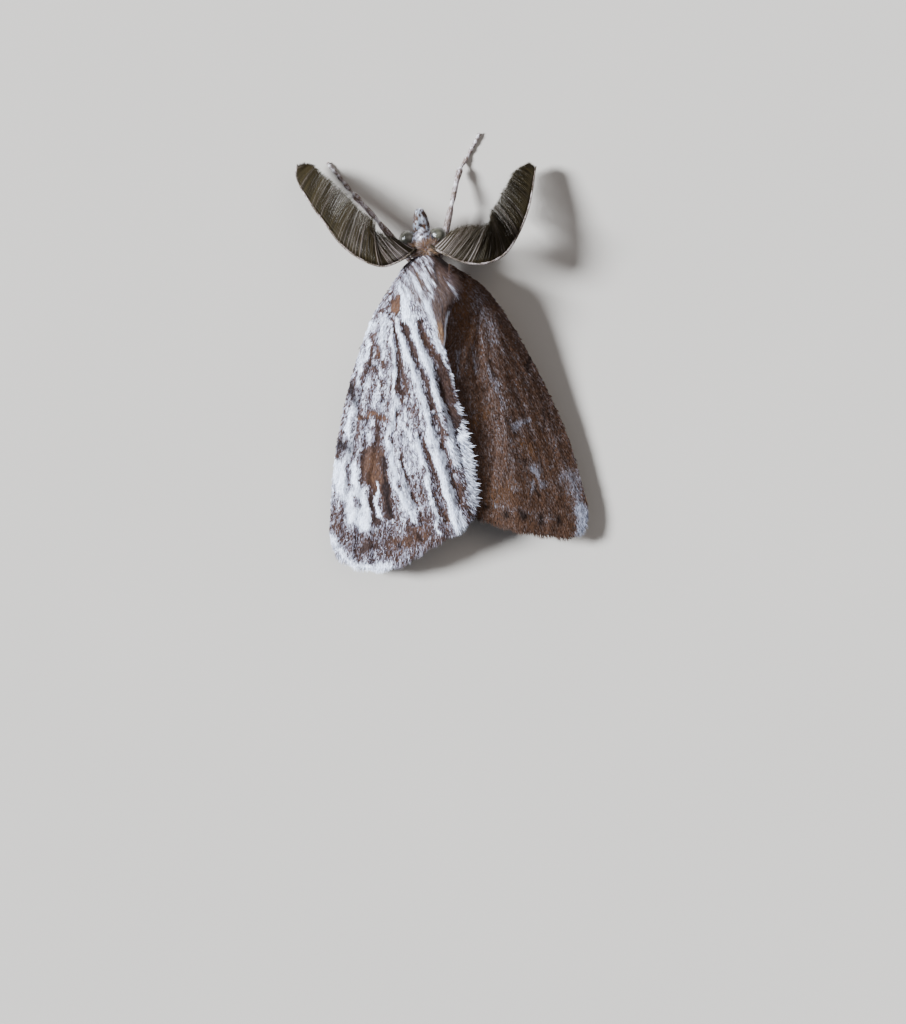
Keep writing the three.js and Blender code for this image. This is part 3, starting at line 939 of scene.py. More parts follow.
RIGHT_MARKS = (
    *streaks(
        Tone.FROST,
        (0.18, 0.50, ((0.22, 0.14), (0.30, 0.29))),
        (0.28, 0.12, ((0.40, 0.42), (0.40, 0.53), (0.405, 0.565))),
        (0.30, 0.10, ((0.54, 0.32), (0.52, 0.42))),
        (0.40, 0.09, ((0.68, 0.34), (0.69, 0.45))),
        (0.50, 0.14, ((0.255, 0.61), (0.305, 0.62), (0.355, 0.63))),
        (0.42, 0.18, ((0.31, 0.76), (0.305, 0.80), (0.28, 0.825))),
        (0.45, 0.10, ((0.36, 0.82), (0.38, 0.85))),
        (0.42, 0.50, ((0.14, 0.82), (0.08, 0.86), (0.13, 0.91))),
        # The white apical tip: partly pale scaling, partly a painted highlight.
        (1.80, 0.30, ((0.13, 0.94), (0.10, 0.97), (0.15, 0.99))),
        (0.25, 0.20, ((0.30, 0.93), (0.90, 0.94))),
    ),
    *streaks(
        Tone.DARK,
        (0.60, 0.25, ((0.04, 0.05), (0.14, 0.07))),
        (0.70, 0.12, ((0.15, 0.24), (0.165, 0.275))),
        (0.85, 0.10, ((0.16, 0.335),)),
        (0.85, 0.10, ((0.26, 0.38),)),
        (0.80, 0.07, ((0.38, 0.39), (0.38, 0.46))),
        (0.90, 0.14, ((0.00, 0.45), (0.10, 0.46))),
        (0.70, 0.08, ((0.12, 0.485), (0.12, 0.52))),
        (0.85, 0.10, ((0.135, 0.59), (0.145, 0.62), (0.18, 0.655))),
        (0.90, 0.08, ((0.36, 0.645), (0.40, 0.615))),
        (0.50, 0.15, ((0.00, 0.64), (0.06, 0.65))),
        (0.75, 0.08, ((0.365, 0.745), (0.365, 0.795))),
        (0.85, 0.09, ((0.345, 0.83), (0.315, 0.855))),
        (0.50, 0.10, ((0.25, 0.88), (0.26, 0.93))),
        (0.40, 0.24, ((0.04, 0.12), (0.03, 0.30), (0.02, 0.42))),
        (0.35, 0.55, ((0.10, 0.50), (0.07, 0.68))),
        *((1.0, 0.19, ((across, 0.925), (across, 0.94))) for across in (0.26, 0.35, 0.44, 0.53, 0.64)),
    ),
    *streaks(
        Tone.OCHRE,
        (0.80, 0.25, ((0.17, 0.09), (0.37, 0.12), (0.50, 0.13))),
        (0.70, 0.50, ((0.60, 0.15), (0.80, 0.13))),
        (0.60, 0.28, ((0.49, 0.57), (0.60, 0.615))),
        (0.50, 0.30, ((0.64, 0.22), (0.56, 0.30))),
        (0.90, 0.26, ((0.35, 0.68), (0.325, 0.72))),
        (0.40, 0.50, ((0.50, 0.85), (0.62, 0.91))),
        (0.30, 0.50, ((0.61, 0.57), (0.70, 0.77))),
    ),
)


@dataclass(frozen=True)
class WingPlan:
    """A wing's outline, drawn as a left one: leading edge, outer margin and inner margin."""

    leading: Line
    outer: Line
    inner: Line
    fan: float = 1.6

    def points(self, across: Array, along: Array) -> Array:
        """Points of the plan.

        Between the leading edge and the inner margin, read at the same share, a point lies at its share
        across. The outer margin's bulge over its chord is added in full at the end, less further in.

        Args:
            across: Share of the way from the leading edge to the inner margin.
            along: Share of the way from the root to the outer margin.

        Returns:
            x and station of each point.
        """
        a, b = np.asarray(across)[..., None], np.asarray(along)[..., None]
        tip, corner = spline(self.leading, np.ones(1))[0], spline(self.inner, np.ones(1))[0]
        chord = tip * (1 - a) + corner * a
        bulge = spline(self.outer, across) - chord
        return spline(self.leading, along) * (1 - a) + spline(self.inner, along) * a + bulge * b**self.fan


FOREWING_LEFT = WingPlan(
    leading=((1.2, 0.65), (3.0, 2.8), (4.75, 6.35), (6.0, 10.15), (6.75, 13.9)),
    outer=((6.75, 13.9), (6.45, 15.5), (5.0, 16.35), (3.3, 16.3), (1.5, 15.45), (-0.45, 14.4), (-1.06, 12.9)),
    inner=((0.85, 1.75), (0.45, 2.6), (0.12, 3.3), (-0.18, 4.1), (-0.42, 4.9), (-0.58, 5.6), (-0.70, 7.0),
           (-0.97, 9.3), (-1.10, 11.6), (-1.06, 12.9)),
)
FOREWING_RIGHT = WingPlan(
    leading=((1.2, 0.65), (3.0, 2.25), (4.95, 6.2), (6.3, 10.2), (6.98, 14.0)),
    outer=((6.98, 14.0), (6.75, 15.4), (6.0, 15.93), (4.7, 15.67), (3.2, 15.2), (1.2, 14.2), (-0.6, 13.2),
           (-1.1, 12.0)),
    inner=((1.0, 1.9), (0.95, 3.0), (0.6, 4.25), (-0.3, 5.1), (-0.8, 6.3), (-1.1, 9.0), (-1.1, 12.0)),
)
HINDWING_PLAN = WingPlan(
    leading=((1.8, 3.3), (3.1, 6.0), (4.4, 9.8), (5.0, 12.6)),
    outer=((5.0, 12.6), (4.7, 14.0), (3.6, 14.7), (2.4, 14.3), (1.7, 13.2), (1.5, 12.0)),
    inner=((1.55, 4.4), (1.45, 6.5), (1.45, 9.0), (1.5, 12.0)),
)


@dataclass
class Wing:
    """One wing: a thin pleated membrane, its scales above and below, and the fringe round it.

    Depth is how far under the roof its layer lies, sink the depth of its coat, droop how far its inner
    margin hangs, and vigour how strongly its grain shows.
    """

    name: str
    side: int
    plan: WingPlan
    finish: CoatFinish
    slot: str
    marks: tuple[Streak, ...]
    seed: int
    frost: float
    ochre: float = 0.0
    vigour: float = 1.0
    depth: float = 0.0
    sink: float = 0.15
    droop: float = 0.0
    thickness: float = 0.045
    ridge_height: float = 0.09
    valley_depth: float = 0.10
    fringe: float = 0.64
    fringe_rows: tuple[int, int] = (4, 5)
    fringe_radii: tuple[float, float] = (0.026, 0.024)
    inner_fringe_from: float = 0.3
    scale_length: float = 0.24
    scale_width: float = 0.075
    slender_length: float = 0.33
    slender_width: float = 0.038
    under_length: float = 0.34
    under_width: float = 0.11
    cover_ahead: float = 0.009
    slender_ahead: float = 0.013
    cover: int = 46000
    slender: int = 27000
    underside: int = 7000
    fringe_hairs: int = 850
    inner_lean: float = 42.0
    rows: int = 150
    columns: int = 80

    def inset(self, across: Array, along: Array) -> tuple[Array, Array]:
        """Places on the membrane, which ends where the fringe begins.

        Args:
            across: Share of the membrane's width.
            along: Share of its length.

        Returns:
            The shares of the whole wing, fringe included.
        """
        margin = 0.05 * smoothstep(0.18, 0.5, along)
        return 0.004 + across * (0.996 - margin), along * 0.972

    def line(self, places: Line) -> Array:
        """Corners on the wing's plan, drawn as a left wing."""
        shares = np.asarray(places, float)
        return self.plan.points(shares[:, 0], shares[:, 1])

    def relief(self, flat: Array) -> Array:
        """Height of the ridges over the membrane, less the depth of the valleys."""
        ridges, valleys = (
            np.max([nearness(flat, self.line(pleat), width) for pleat in pleats], axis=0)
            for pleats, width in ((RIDGES, 0.18), (VALLEYS, 0.24))
        )
        return self.ridge_height * ridges - self.valley_depth * valleys

    def surface(self, across: Array, along: Array) -> Array:
        """Points of the membrane's upper side.

        The height is the roof's, less the layer the wing lies in, the depth of its coat and the droop of
        its inner margin, plus the relief of its veins.

        Args:
            across: Share of the wing's width, as one list.
            along: Share of its length.

        Returns:
            Points with x, station and height.
        """
        flat = self.plan.points(across, along)
        x, station = self.side * flat[:, 0], flat[:, 1]
        z = ROOF.height(x, station) - self.depth - self.sink + self.relief(flat)
        if self.side < 0:
            z = z - ROOF.tuck(x, station)
        z = z - self.droop * smoothstep(0.72, 1.0, across) * smoothstep(0.2, 0.45, along)
        return np.stack([x, station, z], -1)

    def tones(self, across: Array, along: Array) -> dict[str, Array]:
        """The markings, the same for membrane and scales.

        Each tone is a base plus fine streaks of noise that run along the wing, plus the wing's own streaks,
        whose places are warped a little by noise.

        Args:
            across: Share of the wing's width, as one list.
            along: Share of its length.

        Returns:
            Values of frost, dark and ochre between 0 and 1.
        """
        flat = self.plan.points(across, along)
        x, station = flat.T
        warp = np.stack([noise(x * 3, station * 1.6, 5), noise(station * 3, x * 3, 6)], -1)
        flat = flat + 0.34 * (warp - 0.5)
        broad = noise(across * 15, along * 4.5, self.seed) - 0.5
        thin = noise(across * 46, along * 9, self.seed + 1) - 0.5
        hair = noise(across * 62, along * 52, self.seed + 3) - 0.5
        border = smoothstep(0.84, 0.89, along)
        speck = noise(across * 60, along * 60, self.seed + 2)
        grain = (0.25 * broad + 0.50 * thin + 0.85 * hair) * (1 - 0.4 * border)
        tones = {
            Tone.FROST: self.frost * (1 - 0.4 * border) + self.vigour * grain,
            Tone.DARK: 0.26 * smoothstep(0.66, 0.9, speck) + 0.14 * (0.5 - thin),
            Tone.OCHRE: self.ochre + 0.30 * (0.5 - broad),
        }
        return paint(tones, flat, [(streak, self.line(streak.places)) for streak in self.marks])

    def membrane(self) -> Shape:
        """The closed membrane, thinner than a scale is long."""
        shares = np.meshgrid(np.linspace(0, 1, self.rows), np.linspace(0, 1, self.columns), indexing="ij")
        across, along = self.inset(shares[1].ravel(), shares[0].ravel())
        top = self.surface(across, along)
        grid = (self.rows, self.columns)
        marks = {name: value.reshape(grid) for name, value in self.tones(across, along).items()}
        rng = np.random.default_rng(self.seed)
        marks |= lots(rng, grid)
        low = top - (0.0, 0.0, self.thickness)
        shape = closed_plate(top.reshape(*grid, 3), low.reshape(*grid, 3), marks)
        if self.side < 0:
            shape.faces = [f[:, ::-1] for f in shape.faces]
        return shape

    def lean(self, across: Array, along: Array) -> Array:
        """Angle in radians from straight along the wing towards the inner margin."""
        hind = smoothstep(0.72, 1.0, across) * smoothstep(0.2, 0.5, along)
        return np.radians(-6.0 + 10.0 * across + self.inner_lean * hind)

    def roots(
        self, across: Array, along: Array, rng: np.random.Generator, scatter: float = 9.0, ahead: float = 0.0
    ) -> Roots:
        """Roots of scales on the upper side.

        Args:
            across: Share of the wing's width, as one list.
            along: Share of its length.
            rng: Source of luck.
            scatter: Spread of the scales' directions, in degrees.
            ahead: How far before its root a scale takes its tones, as a share of the wing's length.

        Returns:
            The roots, with the membrane's markings.
        """
        step = 1e-3
        place = self.surface(across, along)
        over = unit(self.surface(across + step, along) - place)
        onward = unit(self.surface(across, along + step) - place)
        out = unit(np.cross(over, onward))
        out = out * np.sign(out[:, 2:])
        turn = self.lean(across, along) + np.radians(scatter) * rng.standard_normal(len(across))
        lie = onward * np.cos(turn)[:, None] + over * np.sin(turn)[:, None]
        marks = self.tones(across, along + ahead)
        marks |= lots(rng, len(across))
        bake = np.stack([0.01 + 0.47 * across, 0.01 + 0.97 * along], -1)
        return Roots(place, lie, out, bake, marks)

    def scattered(self, count: int, seed: int) -> tuple[Array, Array, np.random.Generator]:
        """Places spread evenly by area over the membrane.

        Args:
            count: How many places are tried for each share of the wing's mean area.
            seed: Picks the places.

        Returns:
            Shares across and along, and the generator.
        """
        across, along, rng = spread(int(count * 1.9), seed)
        across, along = self.inset(across, along)
        step = 1e-3
        flat = self.plan.points(across, along)
        over = self.plan.points(across + step, along) - flat
        onward = self.plan.points(across, along + step) - flat
        area = np.abs(over[:, 0] * onward[:, 1] - over[:, 1] * onward[:, 0])
        kept = rng.random(len(area)) < area / np.quantile(area, 0.995)
        return across[kept], along[kept], rng

    def cover_scales(self) -> Shape:
        """Short broad scales that cover the upper side like shingles."""
        across, along, rng = self.scattered(self.cover, self.seed + 10)
        roots = self.roots(across, along, rng, ahead=self.cover_ahead)
        size = (0.75 + 0.25 * smoothstep(0.0, 0.25, along)) * (0.8 + 0.4 * rng.random(len(along)))
        size = size * (1 + 0.35 * smoothstep(0.75, 1.0, across) * smoothstep(0.3, 0.6, along))
        lift = lifts(rng, 4.0, 7.0, len(along))
        return lancets(roots, self.scale_length * size, self.scale_width * size, lift)

    def slender_scales(self) -> Shape:
        """Long slender scales that lie over the others and draw streaks."""
        across, along, rng = self.scattered(self.slender, self.seed + 20)
        roots = self.roots(across, along, rng, scatter=7.0, ahead=self.slender_ahead)
        size = 0.7 + 0.6 * rng.random(len(along))
        back = smoothstep(0.72, 1.0, across) * smoothstep(0.35, 0.7, along)
        length = self.slender_length * size * (1 + 0.75 * back)
        lift = np.radians(5.0 + 7.0 * rng.random(len(along)) + 4.0 * back)
        return lancets(roots, length, self.slender_width * size, lift, arch=0.012)

    def under_scales(self) -> Shape:
        """Paler scales on the underside, turned over from the upper side's."""
        across, along, rng = self.scattered(self.underside, self.seed + 30)
        roots = self.roots(across, along, rng)
        roots.place = roots.place - (0.0, 0.0, self.thickness)
        roots.out = -roots.out
        roots.bake = roots.bake + (0.5, 0.0)
        roots.marks["frost"] = 0.45 + 0.3 * noise(across * 12, along * 5, self.seed)
        roots.marks["dark"] = 0.4 * roots.marks["dark"]
        size = 0.8 + 0.4 * rng.random(len(along))
        lift = lifts(rng, 4.0, 5.0, len(along))
        return lancets(roots, self.under_length * size, self.under_width * size, lift)

    def fringe_scales(self) -> Shape:
        """Layers of long narrow scales round the outer margin and the hind part of the inner one.

        The outer fringe is longest between the veins' ends, which gives the margin its teeth.

        Returns:
            The fringe.
        """
        rng = np.random.default_rng(self.seed + 40)
        layers = []
        count = self.fringe_hairs
        for row in range(self.fringe_rows[0]):
            share = (np.arange(count) + rng.random(count)) / count
            across, along = self.inset(share, np.full(count, 0.99 - 0.008 * row))
            roots = self.roots(across, along, rng, scatter=6.0)
            teeth = 0.84 + 0.22 * np.abs(np.sin(np.pi * (share * 9.0)))
            reach = self.fringe * (1.0 - 0.2 * row) * teeth * (0.88 + 0.2 * rng.random(count))
            roots.marks |= self.tones(across, np.full(count, 0.985 - 0.01 * row))
            lift = lifts(rng, 1.0 + 1.5 * row, 4.0, count)
            layers.append(spikes(roots, reach, self.fringe_radii[0], lift, bend=0.04, flat=0.4))
        for row in range(self.fringe_rows[1]):
            start = self.inner_fringe_from
            share = start + (1.0 - start) * (np.arange(count) + rng.random(count)) / count
            across, along = self.inset(np.full(count, 0.995 - 0.018 * row), share)
            roots = self.roots(across, along, rng, scatter=9.0)
            hind = smoothstep(0.35, 0.8, share)
            dash = noise(share * 90, 0.9 * row, self.seed + 4) - 0.5
            pale = 0.20 + 0.30 * smoothstep(0.52, 0.68, share) + 0.6 * (row == 0)
            roots.marks["frost"] = np.clip(pale + 1.3 * dash, 0, 1)
            roots.marks["dark"] = np.clip(-1.3 * dash, 0, 0.6)
            reach = (0.26 + 0.24 * hind) * (1.0 - 0.1 * row) * (0.75 + 0.4 * rng.random(count))
            lift = lifts(rng, 1.0 + 1.5 * row, 3.0, count)
            layers.append(spikes(roots, reach, self.fringe_radii[1], lift, bend=0.08, flat=0.4))
        return joined(layers)

    def build(self) -> None:
        """Makes the wing's pieces."""
        material = self.finish.material()
        make_piece(f"{self.name}_membrane", self.membrane(), material, (self.name,))
        coats = {
            "cover": self.cover_scales,
            "slender": self.slender_scales,
            "underside": self.under_scales,
            "fringe": self.fringe_scales,
        }
        for part, scales in coats.items():
            make_piece(f"{self.name}_{part}", scales(), material, smooth=False)


# ------------------------------------------------------------------ the body


@dataclass(frozen=True)
class Mantle:
    """The coat of thorax and tegulae, which lies over the wings' roots and narrows to a point behind.

    It grows from a low vault. Across it, the height is the crest's, plus the border's height over the crest
    times the cube of the share of the way to the border.
    """

    stations: Stops = (0.1, 0.5, 0.9, 1.5, 2.0, 2.6, 3.2, 3.8, 4.4, 4.95)
    left: Stops = (0.60, 1.12, 1.27, 1.22, 0.84, 0.52, 0.22, -0.04, -0.25, -0.35)
    right: Stops = (-0.55, -0.97, -1.17, -1.37, -1.40, -1.12, -0.90, -0.70, -0.54, -0.41)
    crest: Stops = (2.95, 3.28, 3.47, 3.66, 3.76, 3.80, 3.76, 3.68, 3.57, 3.44)
    left_height: Stops = (2.35, 2.55, 3.15, 3.52, 3.68, 3.72, 3.70, 3.64, 3.54, 3.42)
    right_height: Stops = (2.35, 2.50, 3.00, 3.42, 3.54, 3.54, 3.48, 3.38, 3.28, 3.24)
    slant: float = 0.38
    tip_x: float = -0.38
    meeting: float = 5.8
    hairs: int = 13500
    seed: int = 800
    marks: tuple[Streak, ...] = (
        *streaks(
            Tone.FROST,
            (0.70, 0.055, ((-0.80, 1.35), (-0.90, 1.6), (-1.33, 2.15))),
            (0.90, 0.08, ((-0.95, 2.75), (-0.73, 3.2), (-0.47, 4.6))),
            (0.70, 0.16, ((0.35, 2.2), (0.05, 3.0), (-0.12, 3.6))),
            (0.60, 0.08, ((-0.14, 3.7), (-0.33, 4.6))),
            (-0.90, 0.17, ((-0.27, 3.5), (-0.30, 4.2))),
        ),
        *streaks(
            Tone.DARK,
            (1.00, 0.09, ((-0.27, 0.5), (-0.29, 1.0), (-0.33, 1.4))),
            (0.55, 0.07, ((0.10, 0.9), (0.0, 1.6))),
            (0.45, 0.08, ((-0.62, 2.5), (-0.5, 3.3))),
            (0.60, 0.06, ((-0.62, 1.7), (-0.95, 2.3))),
            (0.45, 0.10, ((0.1, 2.6), (-0.1, 3.3))),
        ),
        *streaks(
            Tone.OCHRE,
            (1.00, 0.24, ((-0.27, 3.5), (-0.30, 4.2))),
            (0.30, 0.30, ((0.55, 0.9), (0.7, 1.6))),
        ),
    )

    def borders(self, station: Array) -> tuple[Array, Array]:
        """The middle between the borders, and half the distance between them."""
        left, right = profile(station, self.stations, self.left), profile(station, self.stations, self.right)
        return (left + right) / 2, (left - right) / 2

    def surface(self, across: Array, station: Array) -> Array:
        """Points of the vault.

        Args:
            across: From -1 at the right border to 1 at the left one.
            station: Place along the body.

        Returns:
            The points.
        """
        middle, half = self.borders(station)
        crest = profile(station, self.stations, self.crest)
        right, left = (profile(station, self.stations, h) for h in (self.right_height, self.left_height))
        side = np.where(across < 0, right, left)
        z = crest + (side - crest) * np.abs(across) ** 3
        return np.stack(np.broadcast_arrays(middle + half * across, station, z), -1)

    def tones(self, x: Array, station: Array) -> dict[str, Array]:
        """The markings: a pale left half, which is painted light, a duller right one, which is painted shade,
        and streaks of noise that follow the hair.

        Args:
            x: Places across the body, as one list.
            station: Places along it.

        Returns:
            Values of frost, dark and ochre between 0 and 1.
        """
        hind = smoothstep(1.6, 2.6, station)
        front_line = x - self.tip_x + self.slant * (station - 2.0)
        hind_line = (x - self.tip_x) * (self.meeting - 2.0) / np.maximum(self.meeting - station, 0.5)
        strand = front_line * (1 - hind) + hind_line * hind
        broad = noise(strand * 9, station * 1.1, 41) - 0.5
        thin = noise(strand * 23, station * 2.2, 43) - 0.5
        fine = noise(strand * 48, station * 3.6, 44) - 0.5
        middle = profile(station, (0.1, 1.25, 2.3, 3.7, 5.0), (-0.22, -0.25, 0.0, -0.15, -0.33))
        # left is 1 on the body's left half: its extra frost and streakiness are painted light, and the flat
        # dark on the right half is painted shade.
        left = smoothstep(-0.12, 0.12, x - middle)
        streaky = 0.75 * broad + 1.00 * thin + 0.75 * fine
        tones = {
            Tone.FROST: 0.40 * left + (0.18 + 0.78 * left) * streaky,
            Tone.DARK: 0.75 * smoothstep(0.10, 0.34, -thin) * left + 0.15 * (1 - left),
            Tone.OCHRE: 0.15 + 0.25 * broad,
        }
        flat = np.stack([x, station], -1)
        return paint(tones, flat, [(streak, np.asarray(streak.places)) for streak in self.marks])

    def plate(self) -> Shape:
        """The closed skin under the hair."""
        station = np.linspace(self.stations[0], self.stations[-1], 90)
        stations, across = np.meshgrid(station, np.linspace(1, -1, 40), indexing="ij")
        top = self.surface(across, stations)
        marks = self.tones(top[..., 0].ravel(), top[..., 1].ravel())
        rng = np.random.default_rng(self.seed)
        marks |= lots(rng, across.size)
        grid = {name: value.reshape(across.shape) for name, value in marks.items()}
        return closed_plate(top - (0, 0, 0.03), top - (0, 0, 0.22), grid)

    def hair(self) -> Shape:
        """Long hair-scales that run back from the neck, then draw together towards the mantle's point."""
        first, second, rng = spread(2 * self.hairs, self.seed + 1)
        station = self.stations[0] + 0.02 + (self.stations[-1] - self.stations[0] - 0.1) * second
        across = 2 * first - 1
        _, half = self.borders(station)
        kept = rng.random(len(half)) < half / half.max()
        station, across = station[kept], across[kept]
        place = self.surface(across, station)
        step = 0.01
        over = self.surface(across - step, station) - place
        onward = self.surface(across, station + step) - place
        out = unit(np.cross(onward, over))
        x = place[:, 0]
        count = len(x)
        hind = smoothstep(1.6, 2.6, station)[:, None]
        front = np.stack([-self.slant - 0.3 * smoothstep(-0.3, -1.1, x) + 0.5 * smoothstep(0.7, 1.2, x),
                          np.ones(count)], -1)
        back = np.stack([self.tip_x - x, self.meeting - station], -1)
        way = unit(front) * (1 - hind) + unit(back) * hind
        loose = 0.07 + 0.12 * smoothstep(-0.6, -1.0, across)[:, None]
        lie = np.c_[way, np.zeros(count)] + loose * rng.standard_normal((count, 3)) * (1, 1, 0)
        marks = self.tones(x, station)
        marks |= lots(rng, count)
        bake = np.stack([0.01 + 0.97 * (1 - across) / 2, 0.01 + 0.19 * station], -1)
        roots = Roots(place, lie, out, bake, marks)
        length = (0.34 + 0.24 * smoothstep(0.3, 1.6, station)) * (0.75 + 0.5 * rng.random(count))
        length = length * (1 - 0.45 * smoothstep(4.1, 4.9, station))
        lift = lifts(rng, 5, 9, count)
        return spikes(roots, length, 0.020 + 0.006 * rng.random(count), lift, bend=0.10, flat=0.55)

    def build(self, material: bpy.types.Material) -> None:
        """Makes the mantle's skin and hair."""
        make_piece("thorax_mantle_skin", self.plate(), material)
        make_piece("thorax_mantle_hair", self.hair(), material, smooth=False)


MANTLE = Mantle()


@dataclass
class Body:
    """Head, thorax and abdomen under one skin, with their fur.

    A section is an oval: x is the half-width times the cosine, z the middle height plus the half-height
    times the sine of the angle from the left side upwards.
    """

    stations: Stops = (-1.42, -1.12, -0.82, -0.53, -0.23, 0.07, 0.43, 0.73, 1.35, 1.9, 2.45, 3.0, 3.55, 4.1,
                       5.23, 6.29, 7.35, 8.42, 9.48, 10.54, 11.6)
    half_widths: Stops = (0.34, 0.52, 0.62, 0.70, 0.73, 0.66, 0.9, 1.0, 1.28, 1.4, 1.38, 1.2, 0.86, 0.5,
                          0.9, 1.05, 1.08, 1.04, 0.95, 0.8, 0.36)
    half_heights: Stops = (0.38, 0.66, 0.82, 0.86, 0.82, 0.72, 1.0, 1.12, 1.36, 1.5, 1.44, 1.2, 0.9, 0.52,
                           0.77, 0.79, 0.73, 0.67, 0.58, 0.45, 0.19)
    middles: Stops = (2.0, 2.05, 2.1, 2.13, 2.12, 2.1, 2.15, 2.2, 2.27, 2.3, 2.26, 2.15, 1.98, 1.75,
                      1.48, 1.41, 1.35, 1.29, 1.23, 1.16, 1.10)
    coat: float = 0.17
    eye: tuple[float, float, float] = (0.8, -0.92, 2.05)
    eye_radius: float = 0.46
    facets: int = 900
    eye_grid: tuple[int, int] = (100, 170)
    rows: int = 220
    sides: int = 150
    seed: int = 300

    @property
    def ends(self) -> tuple[float, float]:
        """Front and back of the skin, inside the coat."""
        return self.stations[0] + 0.10, self.stations[-1] - 0.35

    def oval(self, station: Array) -> tuple[Array, Array, Array]:
        """A section of the skin.

        Args:
            station: Where it is cut.

        Returns:
            Half-width, half-height and middle height.
        """
        front, back = self.ends
        cap = np.sqrt(np.clip(1 - (1 - np.clip((station - front) / 0.45, 0, 1)) ** 2, 0, 1))
        cap = cap * np.sqrt(np.clip(1 - (1 - np.clip((back - station) / 0.7, 0, 1)) ** 2, 0, 1))
        width = profile(station, self.stations, self.half_widths) - self.coat
        height = profile(station, self.stations, self.half_heights) - self.coat
        return width * cap, height * cap, profile(station, self.stations, self.middles)

    def surface(self, angle: Array, station: Array) -> Array:
        """Points of the skin.

        The oval swells under the tegulae, draws in at the neck, steps at each ring of the abdomen and
        rises in a rim round each eye.

        Args:
            angle: Angle from the left side upwards, in radians.
            station: Place along the body.

        Returns:
            The points.
        """
        width, height, middle = self.oval(station)
        lappet = near(np.abs(np.degrees(angle) - 90), 30, 17) * smoothstep(0.85, 1.4, station)
        lappet = lappet * (1 - smoothstep(2.6, 3.3, station))
        neck = near(station, 0.12, 0.12) + 0.7 * near(station, 0.80, 0.10)
        rings = ((station - 4.75) / 0.98) % 1.0 * smoothstep(4.4, 4.8, station)
        swell = 1 + 0.13 * lappet - 0.07 * neck + 0.06 * rings
        x, z = width * np.cos(angle) * swell, middle + height * np.sin(angle) * swell
        points = np.stack(np.broadcast_arrays(x, station, z), -1)
        centre = np.asarray(self.eye)
        gap = np.linalg.norm(points * (1, 1, 1) - np.where(x < 0, -1, 1)[..., None] * centre * (1, 0, 0)
                             - centre * (0, 1, 1), axis=-1)
        rim = 0.07 * near(gap, self.eye_radius + 0.02, 0.055)
        outward = unit(points - np.stack(np.broadcast_arrays(0 * x, station, middle), -1))
        return points + rim[..., None] * outward

    def frame_at(self, angle: Array, station: Array) -> tuple[Array, Array, Array]:
        """Where the skin is and how it faces.

        Args:
            angle: Angles round the body.
            station: Places along it.

        Returns:
            Points, outward directions and backward directions along the skin.
        """
        step = 2e-3
        place = self.surface(angle, station)
        around = self.surface(angle + step, station) - place
        back = unit(self.surface(angle, station + step) - place)
        return place, unit(np.cross(back, around)), back

    def tones(self, place: Array) -> dict[str, Array]:
        """The markings of skin and fur, by their place on the body.

        The trunk's are the mantle's. The face is frosted, with a dark band between the eyes, the crown is tan
        and the abdomen pale brown with darker rings.

        Args:
            place: Points on the skin.

        Returns:
            Values of frost, dark and ochre between 0 and 1.
        """
        x, station, z = place.T
        fine = noise(x * 8, station * 3, 42) - 0.5
        trunk = MANTLE.tones(x, station)
        crown = np.exp(-(((x + 0.07) / 0.75) ** 2 + ((station + 0.24) / 0.30) ** 4)) * smoothstep(2.2, 2.6, z)
        face = smoothstep(-0.45, -0.60, station)
        belly = smoothstep(4.0, 4.6, station)
        ring = near(((station - 4.75) / 0.98) % 1.0, 0.12, 0.2)
        band = near(station, -0.95, 0.05) * smoothstep(0.5, 0.3, np.abs(x)) * smoothstep(2.3, 2.6, z)
        spot = np.exp(-(((x + 0.17) / 0.13) ** 2 + ((station + 1.14) / 0.10) ** 2)) * smoothstep(2.0, 2.3, z)
        # A dark spot at the neck behind the crown: painted shade in the gap between head and collar.
        neck_gap_shade = np.exp(-(((x + 0.17) / 0.14) ** 2 + ((station - 0.05) / 0.09) ** 2)) * smoothstep(2.2, 2.6, z)
        grain = noise(x * 11 + 40, station * 11, 45)
        frost = trunk["frost"] * (1 - belly) * (1 - face) + (0.45 + 0.3 * fine) * belly
        frost = frost + (0.05 + 1.00 * grain) * face
        frost = frost * (1 - 0.7 * crown) - 0.8 * spot
        dark = trunk["dark"] * (1 - belly) * (1 - face) + 0.3 * ring * belly
        dark = dark + 0.8 * band + 0.3 * spot + 0.8 * neck_gap_shade
        ochre = np.maximum(trunk["ochre"] * (1 - face), 0.9 * crown) + 0.9 * spot + 0.12
        return {n: np.clip(v, 0, 1) for n, v in (("frost", frost), ("dark", dark), ("ochre", ochre))}

    def skin(self) -> Shape:
        """The closed skin, with rows closer together towards its rounded ends."""
        front, back = self.ends
        share = np.linspace(0.0, 1.0, self.rows)
        share = 0.5 * share + 0.5 * (1 - np.cos(np.pi * share)) / 2
        station = (front + 1e-3) + (back - front - 2e-3) * share
        angle = -2 * np.pi * np.arange(self.sides) / self.sides
        grid = np.meshgrid(station, angle, indexing="ij")
        points = self.surface(grid[1], grid[0])
        marks = self.tones(points.reshape(-1, 3))
        rng = np.random.default_rng(self.seed)
        marks |= lots(rng, grid[0].size)
        return closed_tube(points, {n: v.reshape(grid[0].shape) for n, v in marks.items()})

    def roots(
        self, count: int, seed: int, stations: tuple[float, float], angles: tuple[float, float] = (0.0, 360.0)
    ) -> tuple[Roots, np.random.Generator]:
        """Roots spread by area over a part of the skin, with fur lying backwards.

        Args:
            count: How many.
            seed: Picks them.
            stations: The part's front and back.
            angles: Its first and last angle, in degrees from the left side upwards.

        Returns:
            The roots, and a generator.
        """
        first, second, rng = spread(2 * count, seed)
        station = stations[0] + (stations[1] - stations[0]) * first
        angle = np.radians(angles[0] + (angles[1] - angles[0]) * second)
        width, height, _ = self.oval(station)
        kept = rng.random(len(station)) < (width + height) / (width + height).max()
        station, angle = station[kept], angle[kept]
        place, out, back = self.frame_at(angle, station)
        marks = self.tones(place)
        marks |= lots(rng, len(station))
        front, rear = self.ends
        length = 0.01 + 0.97 * (station - front) / (rear - front)
        return Roots(place, back, out, round_bake(angle, length), marks), rng

